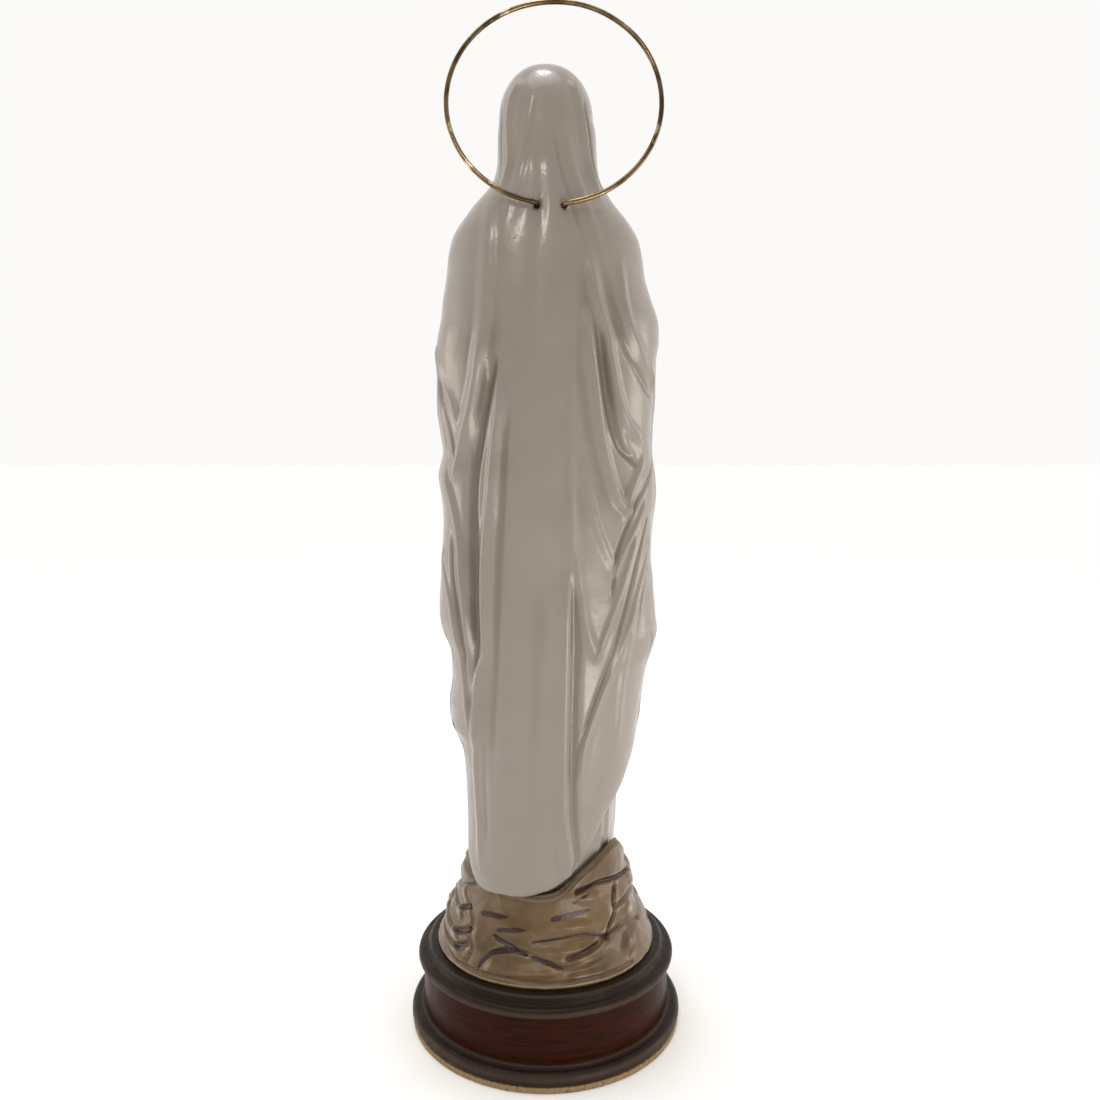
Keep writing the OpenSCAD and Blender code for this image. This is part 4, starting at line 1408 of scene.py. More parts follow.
ROBE_SECTIONS = [
    (50, 27, 24.5, 26, 28), (60, 27.5, 25, 26.5, 28.6), (70, 27, 24.5, 25.6, 27.6),
    (100, 26.5, 26, 24, 25.5), (150, 28.4, 28.6, 23, 22.6), (195, 27.6, 27.6, 22, 20),
    (218, 25.6, 25.6, 20, 18), (228, 24.8, 24.8, 19.6, 17.4), (240, 26.6, 26.6, 20, 18.4),
    (252, 27, 27, 19.6, 18.4), (264, 25.4, 25.4, 17, 16.4), (272, 20, 20, 12.6, 13.6),
    (279, 11.6, 11.6, 9, 10.4), (283, 8.6, 8.6, 8, 8.8), (286, 8, 8, 7.8, 8.4),
]
ROBE_HEM = [  # angle in degrees, height of the lower edge
    (-90, 57.6), (-79, 60.2), (-68, 58.8), (-40, 57.2), (0, 56.6), (60, 56), (100, 56.4),
    (109, 58.4), (118, 61), (128, 63.6), (141, 66.4), (154, 67.6), (166, 64.6), (184, 59.4),
    (212, 57.2), (248, 58.8), (259, 60.2), (270, 57.6),
]
ROBE = Drape(ROBE_SECTIONS, 0.92, seam=-270)


def dress_folds():
    """Long folds down the front of the skirt, gathers above the sash, and soft ones at the sides."""
    out = []
    skirt = [  # angle at about the knees, rise, half width
        (-147, 1.3, 3.2), (-133, -1.3, 2.6), (-124, 1.9, 3.0), (-114, -1.6, 2.4), (-106, 1.7, 2.8),
        (-97, -1.2, 2.4), (-89, 1.5, 2.8), (-80, -1.5, 2.4), (-72, 2.0, 3.0), (-63, -1.6, 2.4),
        (-54, 1.8, 3.0), (-43, -1.2, 2.8), (-32, 1.2, 3.0),
    ]
    for k, (angle, rise, half_width) in enumerate(skirt):
        lean = 5 * math.sin(k * 2.4)
        line = [(222, -90 + (angle + 90) * 0.72), (190, -90 + (angle + 90) * 0.84)]
        line += [(140, angle - lean / 2), (100, angle + lean / 2), (62, angle + lean)]
        out.append(fold(line, rise, (half_width, half_width), 0.4, (5, 6), True))
    gathers = [  # angle at the chest, angle at the sash, rise
        (-118, -104, 0.9), (-106, -96, -0.7), (-96, -91, 0.8), (-86, -89, -0.6),
        (-77, -84, 0.9), (-64, -76, -0.8), (-52, -68, 0.9), (-128, -112, -0.8),
    ]
    for high, low, rise in gathers:
        line = [(264, high), (248, (high + low) / 2), (233, low)]
        out.append(fold(line, rise, (2.2, 2.2), 0.35, (6, 4), True))
    # soft folds that fan out over the chest from the collar
    for k, rise in ((-3, 0.6), (-2, -0.6), (-1, 0.7), (0, -0.5), (1, 0.6), (2, -0.6), (3, 0.6)):
        fan = [(279, -90 + 13 * k), (268, -90 + 16 * k), (252, -90 + 15 * k)]
        out.append(fold(fan, rise, (2.4, 2.4), 0.2, (4, 10), True))
    for angle in (0, 22, -210, -180):
        out.append(fold([(210, angle), (120, angle + 3), (70, angle)], 0.8, (3, 3), 0.3, (10, 10), True))
    # the hem shows under the mantle at the right of the back, with one long fold
    out.append(fold([(80, -220), (70, -223), (60, -230)], 0.6, (2.2, 3), 0.4, (6, 4), True))
    return out


DRESS_FOLDS = dress_folds()


def dress_surface(t, z, lift=0.0, smoothing=0):
    """Points of the dress at angles t and heights z, lifted off it by lift, and its folds' rise."""
    p = ROBE.base(t, z)
    rise = fold_field(ROBE, DRESS_FOLDS, t, z)
    rise += 0.16 * noise(p, 11, 21)
    if smoothing:
        rise = blurred(np.maximum(rise, 0), smoothing)
    return p + outward(p) * (rise + lift)[..., None], rise


def closed_band(p, thick):
    """Closed rings along a grid of points: the grid, and behind it its back, thick away.

    At the grid's two ends both faces draw together a little.
    """
    n = outward(p)
    full = np.full(p.shape[1], 1.0)
    full[[0, -1]] = 0.5
    front = p - n * (thick * 0.25 * (1 - full))[:, None]
    back = p - n * (thick * (0.75 + 0.25 * full))[:, None]
    return np.concatenate([front, back[:, ::-1]], 1)


COLLAR_TOP, COLLAR_ROLL = 285.4, 283.4


def build_dress(columns=360, rows=230):
    t = np.tile(np.linspace(-1.5 * math.pi, math.pi / 2, columns + 1), (rows, 1))
    foot = smooth_rows(ROBE_HEM, (np.degrees(t[0]) + 90) % 360 - 90)[:, 0]
    z = foot + (COLLAR_TOP - foot) * (np.linspace(0, 1, rows)[:, None] ** 0.97)
    p, rise = dress_surface(t, z)
    neck = smooth_step(278, 281, z)
    waves = 0.35 * np.sin(t * 9 + 0.6 * np.sin(t * 3)) * neck
    hem = 0.6 * np.exp(-(z - foot) / 1.4)
    collar = 0.5 * np.exp(-((z - COLLAR_ROLL) ** 2) / 1.2)
    p += outward(p) * (waves - hem + collar)[..., None]
    hollow = np.clip((blurred(rise, 8) - rise) / 0.8, 0, 1)
    p, hollow = p[:, :-1], hollow[:, :-1]
    grid = [p]
    # the collar turns in to the neck, and the hem turns under
    for inset, drop in ((0.5, 0.25), (1.0, 1.0), (1.6, 4.0)):
        ring = p[-1].copy()
        ring[:, :2] *= 1 - inset / 8
        ring[:, 2] -= drop - 0.5
        grid.append(ring[None])
    under = []
    for inset, lift in ((2.4, 1.6), (1.4, -0.4), (0.5, -0.5)):
        ring = p[0].copy()
        ring[:, :2] *= 1 - inset / 27
        ring[:, 2] += lift
        under.append(ring[None])
    whole = np.concatenate(under + grid)
    points = np.vstack([whole.reshape(-1, 3), [[0, 0, 60]], [[0, 0, 281]]])
    faces = grid_faces(len(whole), columns, around=True).tolist()
    last = (len(whole) - 1) * columns
    faces += [[last + c, last + (c + 1) % columns, len(points) - 1] for c in range(columns)]
    faces += [[(c + 1) % columns, c, len(points) - 2] for c in range(columns)]
    piece = make_mesh("dress", points, faces)
    before, after = len(under) * columns, (len(grid) - 1) * columns + 2
    # painted shade: the turned-under hem, the fold valleys and the collar's inside are marked hollow, which
    # the paint darkens
    marks = [np.full(before, 0.4), hollow.ravel(), np.full(after, 0.3)]
    set_value(piece, "hollow", np.concatenate(marks))
    gold = 0.95 * np.exp(-((z[:, :-1] - COLLAR_ROLL) / 0.9) ** 4)
    set_value(piece, "edge", np.concatenate([np.zeros(before), gold.ravel(), np.zeros(after)]))
    piece.data.materials.append(WHITE)
    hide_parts("robe")


def mesh_of_rings(parts):
    """Points and faces of several closed tubes, each a grid of rings."""
    points, faces, count = [], [], 0
    for rings in parts:
        points.append(rings.reshape(-1, 3))
        faces += capped(rings, count)
        count += rings.shape[0] * rings.shape[1]
    return np.vstack(points), faces


def shade(piece, field, full=0.5):
    """Stores the hollows and crests of a height field, which are full at that depth and height; the paints
    lay painted shade in the hollows and painted highlights on the crests.
    """
    set_value(piece, "hollow", np.clip(-field / full, 0, 1))
    set_value(piece, "crest", np.clip(field / full, 0, 1))


def build_sash():
    """The band round the waist, and its knot."""
    low, high = side_mm("sash")
    middle, half = (low[2] + high[2]) / 2, (high[2] - low[2]) / 2
    columns, rows = 150, 26
    t = np.tile(np.linspace(210, 330, columns) * DEG, (rows, 1)) - 2 * math.pi
    v = np.linspace(-1, 1, rows)[:, None]
    pinch = 1 - 0.12 * np.exp(-(((t + math.pi / 2) / 0.16) ** 2))
    z = middle + half * 0.96 * v * pinch
    p, _ = dress_surface(t, z, 1.15, 12)
    pleats = 0.28 * np.cos(v * 9 + 0.8 * np.sin(t * 7)) + 0.1 * noise(p, 4, 31)
    p = p + outward(p) * (pleats - 0.7 * np.abs(v) ** 5)[..., None]
    band = closed_band(p, 1.5)
    knot_at = np.array([0.0, p[rows // 2, columns // 2, 1] - 0.4, middle])

    def knot(q):
        d = egg(q, knot_at, (3.4, 1.9, 3.1))
        for side in (-1, 1):
            start, end = knot_at + [side * 2.0, 0.2, 0], knot_at + [side * 4.6, 0.9, 0.5]
            d = join(d, bone(q, start, end, 1.5, 2.1), 0.9)
            high, low = knot_at + [side * 2.3, -1.9, 2.6], knot_at + [side * 2.5, -1.9, -2.6]
            d = carve(d, bone(q, high, low, 0.3), 0.5)
        for side in (-0.9, 0.3, 1.2):
            high, low = knot_at + [side, -2.3, 3], knot_at + [side * 1.4, -2.4, -3]
            d = carve(d, bone(q, high, low, 0.22), 0.4)
        return d

    points, faces = mesh_of_rings([band])
    more, quads = surface_net(knot, knot_at - [8.4, 4.4, 4.6], knot_at + [8.4, 3.6, 4.6], 0.25)
    faces += (quads + len(points)).tolist()
    piece = make_mesh("sash_band", np.vstack([points, more]), faces)
    # the band's back face is marked hollow, for painted shade
    field = np.concatenate([pleats, 0 * pleats - 0.3], 1).ravel()
    shade(piece, np.concatenate([field, 0.12 * noise(more, 1.6, 3)]))
    finish_blue(piece, "sash")


def build_sash_tails():
    """The two hanging ends; the one on the figure's right is the shorter."""
    low, high = side_mm("sash_tails")
    parts, fields = [], []
    for side, foot in ((-1, low[2] + 9), (1, low[2] + 0.6)):
        rows, columns = 120, 22
        u = np.linspace(0, 1, rows)[:, None]
        v = np.linspace(-1, 1, columns)[None, :]
        z = high[2] + (foot - high[2]) * u + 0 * v
        z = z + side * 1.6 * v * u**6
        centre = -90 + side * (3.4 + 4.6 * u**0.6) + 0.8 * np.sin(u * 7 + side)
        half = 1.9 + 3.9 * smooth_step(0, 0.5, u)
        t = (centre + half * v) * DEG
        p, _ = dress_surface(t[::-1], z[::-1], 1.35, 10)
        p = p[::-1]
        waves = 0.5 * np.cos(v * 5.2 + 2.2 * np.sin(u * 4 + side)) * (0.4 + 0.6 * u) + 0.08 * noise(p, 3, 7)
        hem = 0.25 * np.exp(-(((u - 0.975) / 0.006) ** 2)) - 0.5 * np.exp(-(1 - u) / 0.004)
        n = -outward(p)
        p = p + n * (waves - 0.45 * np.abs(v) ** 6 + hem)[..., None]
        band = np.concatenate([p, (p - n * 1.2)[:, ::-1]], 1)
        parts.append(band[:, ::-1])
        # the tails' back faces are marked hollow, for painted shade
        fields.append(np.concatenate([waves + hem, 0 * waves - 0.2], 1)[:, ::-1].ravel())
    points, faces = mesh_of_rings(parts)
    piece = make_mesh("sash_ends", points, faces)
    shade(piece, np.concatenate(fields))
    finish_blue(piece, "sash_tails")


BLUE = blue_paint().done()


def finish_blue(piece, node):
    piece.data.materials.append(BLUE)
    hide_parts(node)


build_dress()
build_sash()
build_sash_tails()


# ---------------------------------------------------------------- head, hair and hands

CHIN, BROW, CROWN_UNDER = 291.0, 313.2, 331.0
THIRD = (BROW - CHIN) / 2
NOSE_BASE, MOUTH = CHIN + THIRD, CHIN + THIRD * 0.66
EYE = np.array([4.75, -10.95, BROW - 2.3])
EYE_R = 2.5


def mirrored(p):
    return np.stack([np.abs(p[..., 0]), p[..., 1], p[..., 2]], -1)


def face_distance(p):
    q = mirrored(p)
    d = egg(q, (0, -0.5, CROWN_UNDER - 14.6), (11.4, 14.0, 14.6))
    d = join(d, egg(q, (0, -4.5, 306.2), (9.9, 10.5, 15.2)), 3)
    d = join(d, bone(q, (7.3, -3, 301), (1.5, -11.2, CHIN + 2.7), 2.9, 2.7), 2.5)
    d = join(d, egg(q, (0, -11.4, CHIN + 2.7), (3.1, 3.2, 2.8)), 1.8)
    d = join(d, egg(q, (5.9, -9.3, 304.8), (3.9, 4.0, 4.4)), 2.6)
    d = join(d, bone(q, (2.1, -13.2, BROW), (7.2, -11.0, BROW + 0.5), 1.2, 1.0), 1.8)
    d = carve(d, egg(q, EYE + [0.05, -4.4, 0.1], (3.6, 2.7, 2.3)), 1.5)
    d = carve(d, egg(q, (1.9, -15.2, EYE[2] + 0.3), (1.0, 1.5, 1.9)), 1.2)
    # nose
    d = join(d, bone(q, (0, -13.4, BROW - 0.8), (0, -16.4, NOSE_BASE + 1.9), 0.95, 1.25), 1.5)
    d = join(d, egg(q, (0, -16.4, NOSE_BASE + 1.3), (1.5, 1.4, 1.35)), 0.8)
    d = join(d, egg(q, (1.75, -15.1, NOSE_BASE + 0.95), (1.05, 1.4, 1.1)), 0.8)
    d = carve(d, egg(q, (0.85, -16.0, NOSE_BASE - 0.15), (0.5, 0.7, 0.45)), 0.35)
    # mouth
    d = join(d, egg(q, (0, -11.9, MOUTH), (4.4, 3.2, 3.7)), 2.2)
    d = carve(d, bone(q, (0, -15.75, NOSE_BASE - 0.8), (0, -15.6, MOUTH + 1.1), 0.35), 0.6)
    upper = bone(q, (0.55, -15.05, MOUTH + 0.62), (3.0, -13.9, MOUTH + 0.12), 0.68, 0.28)
    lower = bone(q, (0.0, -14.9, MOUTH - 0.75), (2.5, -14.1, MOUTH - 0.3), 0.78, 0.32)
    d = join(d, np.minimum(upper, lower), 0.45)
    d = carve(d, bone(q, (0, -15.7, MOUTH), (3.1, -14.5, MOUTH + 0.16), 0.16), 0.3)
    d = carve(d, egg(q, (0, -15.2, MOUTH - 2.6), (2.3, 1.1, 0.8)), 1.2)
    # lids over the eyeball, the upper one half lowered
    ball = np.linalg.norm(q - EYE, axis=-1)
    lean = 0.1 * (q[..., 0] - EYE[0])
    arch = 0.16 * ((q[..., 0] - EYE[0]) / 1.6) ** 2
    upper_lid = np.maximum(ball - EYE_R - 0.42, EYE[2] + 0.72 + lean - arch * 2.6 - q[..., 2])
    lower_lid = np.maximum(ball - EYE_R - 0.32, q[..., 2] - (EYE[2] - 0.86 + lean + arch * 1.3))
    d = join(d, np.minimum(upper_lid, lower_lid), 0.35)
    # neck
    neck = bone(q, (0, 1.6, 280), (0, 0.4, 298), 6.7, 6.3)
    neck = join(neck, bone(q, (2.0, -6.0, 284), (7.2, 1.5, 300), 1.1, 1.5), 1.8)
    neck = carve(neck, egg(q, (0, -6.6, 284.6), (1.5, 1.2, 1.5)), 1.2)
    d = join(d, neck, 2.6)
    return np.maximum(np.maximum(d, q[..., 1] - 5.0), 281.5 - q[..., 2])


def build_head():
    points, faces = surface_net(face_distance, (-13, -19.4, 281), (13, 5.6, 332), 0.29, 3)
    piece = make_mesh("face", points, faces)
    q = mirrored(points)
    x, y, z = q.T
    cheek = np.exp(-(((x - 6.4) / 3.2) ** 2 + ((z - 304.2) / 2.8) ** 2)) * (y < -7)
    tip = 0.5 * np.exp(-((x / 1.6) ** 2 + ((z - NOSE_BASE - 1) / 1.4) ** 2)) * (y < -14)
    set_value(piece, "blush", np.maximum(cheek, tip))
    upper = bone(q, (0.5, -15.3, MOUTH + 0.5), (3.0, -14.2, MOUTH + 0.1), 0.8, 0.3)
    lower = bone(q, (0.0, -15.3, MOUTH - 0.7), (2.4, -14.5, MOUTH - 0.25), 0.9, 0.35)
    set_value(piece, "lips", np.clip(0.5 - np.minimum(upper, lower) / 0.5, 0, 1) * (y < -13))
    arch = [(2.7, BROW + 0.8), (4.6, BROW + 1.45), (6.6, BROW + 1.3), (8.2, BROW + 0.3)]
    brow = near_line(x, z, arch)
    along = x - EYE[0]
    lash = np.abs(z - (EYE[2] + 0.8 + 0.1 * along - 0.42 * (along / 1.6) ** 2))
    lid_skin = np.abs(np.linalg.norm(q - EYE, axis=-1) - EYE_R - 0.25) < 0.4
    on_lid = lid_skin & (np.abs(along) < 2.3)
    marks = np.clip(0.98 - brow / (0.62 - 0.045 * x) * 0.5, 0, 1) * (y < -8)
    set_value(piece, "brow", np.maximum(marks, np.clip(1.05 - lash / 0.7, 0, 1) * on_lid))
    # the mouth's parting and the nostrils are marked hollow for painted shade
    parting = np.exp(-((np.abs(z - MOUTH) / 0.3) ** 2)) * (x < 3.1) * (y < -13.6)
    nostril = 0.7 * np.exp(-((x - 0.85) ** 2 + (z - NOSE_BASE + 0.2) ** 2) / 0.25) * (y < -14)
    set_value(piece, "hollow", np.maximum(parting, nostril))
    piece.data.materials.append(FLESH)
    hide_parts("head")


def build_eyes():
    """Two balls whose rings of points go round the way they look."""
    eye_points, eye_faces, ring = [], [], []
    a = np.concatenate([np.linspace(0.0, 0.75, 26), np.linspace(0.8, math.pi, 18)])
    c = circle(40)
    for side in (-1, 1):
        look = unit(np.array([0.02 * side, -1, -0.1]))
        right = unit(np.cross(look, [0, 0, 1]))
        up = np.cross(right, look)
        round_look = np.sin(a)[:, None, None] * (c[:, :1] * right + c[:, 1:] * up)
        rings = EYE * [side, 1, 1] + EYE_R * (np.cos(a)[:, None, None] * look + round_look)
        rings[0] += (rings[1] - rings[0]) * 0.1
        rings[-1] += (rings[-2] - rings[-1]) * 0.1
        eye_faces += capped(rings, len(a) * len(c) * (side > 0))
        eye_points.append(rings.reshape(-1, 3))
        ring.append(np.repeat(a, len(c)))
    eyes = make_mesh("eyes", np.vstack(eye_points), eye_faces)
    set_value(eyes, "ring", np.concatenate(ring))
    eyes.data.materials.append(eye_paint().done())


def build_hair():
    """Locks that part over the forehead and run down both sides of the face under the veil."""
    parts, fields = [], []
    locks = [  # points along the lock, half thickness, half width, where its waves start
        ([(0.2, -13.5, 321.8), (3.8, -13.5, 320.8), (7.4, -12.0, 317.2), (9.6, -10.0, 311),
          (10.4, -8.6, 304), (10.2, -6.8, 297), (9.2, -5.4, 290.5)], 2.0, 3.0, 0.0),
        ([(0.6, -11.4, 323.2), (4.6, -11.2, 322.2), (8.4, -9.6, 318.2), (10.8, -7.8, 311),
          (11.6, -6.4, 303), (11.2, -5, 295), (10.0, -3.8, 288.6)], 2.0, 3.2, 1.7),
        ([(2.4, -7.6, 324), (6.0, -7.2, 322), (9.6, -6.0, 317), (11.6, -4.6, 310.5),
          (12.3, -3.4, 302), (11.8, -2.4, 294)], 1.9, 3.0, 3.1),
    ]
    for line, thick, wide, phase in locks:
        path = curve(line, 90)
        u = np.linspace(0, 1, len(path))[:, None]
        path[:, 0] += 0.35 * np.sin(u[:, 0] * 13 + phase)
        path[:, 1] += 0.3 * np.cos(u[:, 0] * 13 + phase)
        a = np.linspace(0, 2 * math.pi, 56, endpoint=False)
        strands = 0.10 * np.sin(11 * a + 2.4 * u + phase) + 0.05 * np.sin(23 * a - 3 * u)
        taper = np.sqrt(np.clip(np.minimum(u / 0.05 + 0.15, (1 - u) / 0.3 + 0.02), 0, 1))
        r = (1 + strands) * taper
        outline = np.stack([r * thick * np.cos(a), r * wide * np.sin(a)], -1)
        rings = sweep_points(path, outline, (0, 1, 0))
        for side in (1, -1):
            parts.append((rings if side > 0 else rings[:, ::-1]) * [side, 1, 1])
            fields.append((strands if side > 0 else strands[:, ::-1]).ravel())
    points, faces = mesh_of_rings(parts)
    piece = make_mesh("hair_locks", points, faces)
    shade(piece, np.concatenate(fields), 0.12)
    piece.data.materials.append(hair_paint().done())
    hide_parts("hair")


HAND_SCALE = 1.2
PALM = np.array([1.9, -27.2, 257.5])
REACH = unit(np.array([-0.04, -0.42, 0.91]))
BREADTH = unit(np.cross([1, 0, 0], REACH))
KNUCKLES = 8.4
FINGERS = [  # place across the palm, length, radius, lean
    (-3.3, 7.6, 1.12, -0.3), (-1.1, 10.4, 1.22, -0.1), (1.1, 11.4, 1.25, 0.1), (3.2, 9.8, 1.2, 0.35),
]


def hand_distance(p):
    """The figure's left hand: palm flat against the other, fingers up, thumb towards the chest."""
    def at(along, across, out):
        return PALM + REACH * along + BREADTH * across + np.array([out, 0, 0])

    p = PALM + (p - PALM) / HAND_SCALE
    d = bone(p, at(-4.6, 0, 0.8), at(2, 0, 0.2), 3.0, 2.6)
    d = join(d, bone(p, at(0, -3.0, 0.3), at(8.2, -3.3, -0.1), 2.0, 1.55), 1.4)
    d = join(d, bone(p, at(0, -0.8, 0.3), at(9.2, -1.1, -0.1), 2.0, 1.6), 1.2)
    d = join(d, bone(p, at(0, 1.2, 0.3), at(9.2, 1.1, -0.1), 2.0, 1.6), 1.2)
    d = join(d, bone(p, at(-1, 2.6, 0.3), at(8.2, 3.2, -0.1), 2.1, 1.55), 1.4)
    # wrist and heel of the hand
    d = join(d, bone(p, at(-9.0, -0.4, 6.4), at(-4, 0.2, 1.6), 2.6, 3.0), 1.8)
    for across, long, radius, lean in FINGERS:
        a = at(KNUCKLES, across, -0.05)
        b = at(KNUCKLES + long * 0.5, across + lean * 0.6, -0.1)
        c = at(KNUCKLES + long, across + lean * 0.4, -0.45)
        lower = bone(p, a, b, radius * 1.18, radius * 1.08)
        upper = bone(p, b, c, radius * 1.08, radius * 0.86)
        finger = join(lower, upper, 0.35)
        nail = egg(p, c + np.array([radius * 0.62, 0, 0]) - REACH * 0.7, (0.5, 0.75, 0.95))
        finger = join(finger, nail, 0.12)
        d = join(d, finger, 0.45)
    root = bone(p, at(-2.2, 3.6, 0.9), at(3.2, 5.2, 0.9), 2.0, 1.55)
    tip = bone(p, at(3.2, 5.2, 0.9), at(9.2, 4.9, 0.3), 1.45, 1.1)
    d = join(d, join(root, tip, 0.6), 0.9)
    return np.maximum(d, 0.4 - p[..., 0]) * HAND_SCALE


def side_pair(name, node, points, faces, material, fields=None):
    """A piece for the figure's left and its mirror image for the right."""
    for side in ("left", "right"):
        mirror = side == "right"
        corners = faces[:, ::-1] if mirror else faces
        flip = [-1, 1, 1] if mirror else [1, 1, 1]
        piece = make_mesh(f"{side}_{name}", points * flip, corners)
        for key, values in (fields or {}).items():
            set_value(piece, key, values)
        piece.data.materials.append(material)
        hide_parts(f"{side}_{node}")


CUFF = (6.6, -28.2, 256), (12.4, -22.4, 244.4), 4.3, 2.8  # the rod-shaped hollow in a sleeve


def sleeve_distance(p):
    elbow, wrist, hang = (24.0, -10.2, 217), (9.4, -25.4, 251.0), (14.6, -19.4, 225.5)
    d = bone(p, (22.8, -5.4, 254), elbow, 6.2, 7.2)
    d = join(d, bone(p, elbow, wrist, 7.2, 5.3), 4)
    d = join(d, bone(p, (11.2, -24.0, 246), hang, 4.2, 2.9), 4)
    d = join(d, bone(p, (18.5, -16.6, 234), (19.4, -15.0, 221.6), 5.6, 4.2), 4)
    # folds that run from the elbow and from under the wrist
    for a, b, r in (
        ((28.2, -14.6, 226), (17, -25.4, 243), 1.3), ((26.6, -16.2, 217), (15.6, -24.6, 234.6), 1.3),
        ((23.6, -16.8, 211.6), (15.2, -22.4, 226.4), 1.2), ((12.4, -28.0, 250), (14.2, -23.2, 228), 0.9),
        ((28.6, -12.0, 234), (20.6, -20.2, 243.6), 1.1),
    ):
        d = join(d, bone(p, a, b, r, r * 0.7), 1.7)
    for a, b in (
        ((29.0, -16.4, 222.6), (16, -27.0, 239.6)), ((26.4, -18.0, 213.8), (14.6, -25.6, 230.6)),
        ((29.8, -15.0, 231.6), (19.6, -25.6, 244.0)),
    ):
        d = carve(d, bone(p, a, b, 0.9, 0.5), 1.6)
    # the opening of the cuff, deeper under the wrist
    d = carve(d, bone(p, *CUFF), 0.5)
    d = carve(d, bone(p, (8.0, -24.4, 247.6), (12.2, -19.4, 229.4), 2.6, 1.2), 0.5)
    return d


def skin(blush):
    """What flesh_paint reads on a piece with nothing painted on it but a blush."""
    return {"blush": blush, "hollow": 0 * blush, "lips": 0 * blush, "brow": 0 * blush}


def build_arms():
    points, faces = surface_net(hand_distance, (-0.4, -44, 242), (9.6, -15, 285), 0.29, 3)
    blush = np.exp(-(((points - PALM) @ REACH - 19.5) / 3.2) ** 2) * 0.5
    side_pair("palm", "hand", points, faces, FLESH, skin(blush))
    points, faces = surface_net(sleeve_distance, (3, -33, 205), (34, 3, 262), 0.42, 4)
    there = sleeve_distance(points)
    slope = np.stack([sleeve_distance(points + 0.2 * e) for e in np.eye(3)], -1) - there[:, None]
    # where the cloth bends inwards, a step out along its normal gets less far from it
    bend = sleeve_distance(points + 1.4 * unit(slope)) - 1.4
    off_cuff = smooth_step(0.3, 1.4, bone(points, *CUFF))
    # painted shade where the sleeve's cloth bends inwards
    hollow = np.clip(-bend / 0.3 - 0.15, 0, 1) * off_cuff
    fields = {"hollow": hollow, "edge": 0 * hollow}
    side_pair("cuff", "sleeve", points, faces, WHITE, fields)


FLESH = flesh_paint().done()
build_head()
build_eyes()
build_hair()
build_arms()


# ---------------------------------------------------------------- feet, roses, rosary, halo and hardware

SOLE = 57.2
TOES = [  # x, tip's y, radius
    (3.4, -34.2, 1.6), (6.0, -34.5, 1.2), (8.15, -33.8, 1.12), (10.15, -32.8, 1.05), (11.95, -31.4, 0.98),
]


def foot_distance(p):
    d = bone(p, (6.6, -17, 63.4), (7.0, -27.0, 60.9), 4.4, 3.0)
    d = join(d, bone(p, (4.2, -22, 61), (3.9, -29.4, 59.6), 2.9, 2.0), 2.0)
    d = join(d, bone(p, (9.4, -20, 60.6), (9.6, -27.4, 59.4), 2.6, 1.9), 2.0)
    for x, tip, r in TOES:
        start, knuckle = (x * 0.94 + 0.3, tip + 6.0, 59.9), (x, tip + 2.6, 59.3 + r * 0.25)
        end = np.array([x - 0.05, tip + r, SOLE + r * 0.92])
        toe = join(bone(p, start, knuckle, r * 0.95, r * 0.9), bone(p, knuckle, end, r * 0.9, r), 0.5)
        toe = carve(toe, egg(p, end + [0, -r * 0.55, r * 0.98], (r * 0.55, r * 0.6, 0.3)), 0.1)
        toe = join(toe, egg(p, end + [0, -r * 0.5, r * 0.74], (r * 0.46, r * 0.5, 0.24)), 0.06)
        d = join(d, toe, 0.22)
    return np.maximum(d, SOLE - p[..., 2])


def build_feet():
    points, faces = surface_net(foot_distance, (0.6, -36, 56.6), (14, -12, 68.4), 0.26, 3)
    blush = 0.5 * np.exp(-((points[:, 1] + 32.4) / 1.6) ** 2)
    side_pair("toes", "foot", points, faces, FLESH, skin(blush))


PETALS = [  # how many, foot and lip radius, foot and lip height, turn
    (5, 0.5, 1.14, -0.25, 0.14, 0.0), (5, 0.45, 0.86, -0.1, 0.5, 0.63), (4, 0.32, 0.6, 0.1, 0.78, 0.2),
    (3, 0.18, 0.36, 0.2, 0.95, 0.9), (2, 0.05, 0.16, 0.3, 1.02, 0.4),
]


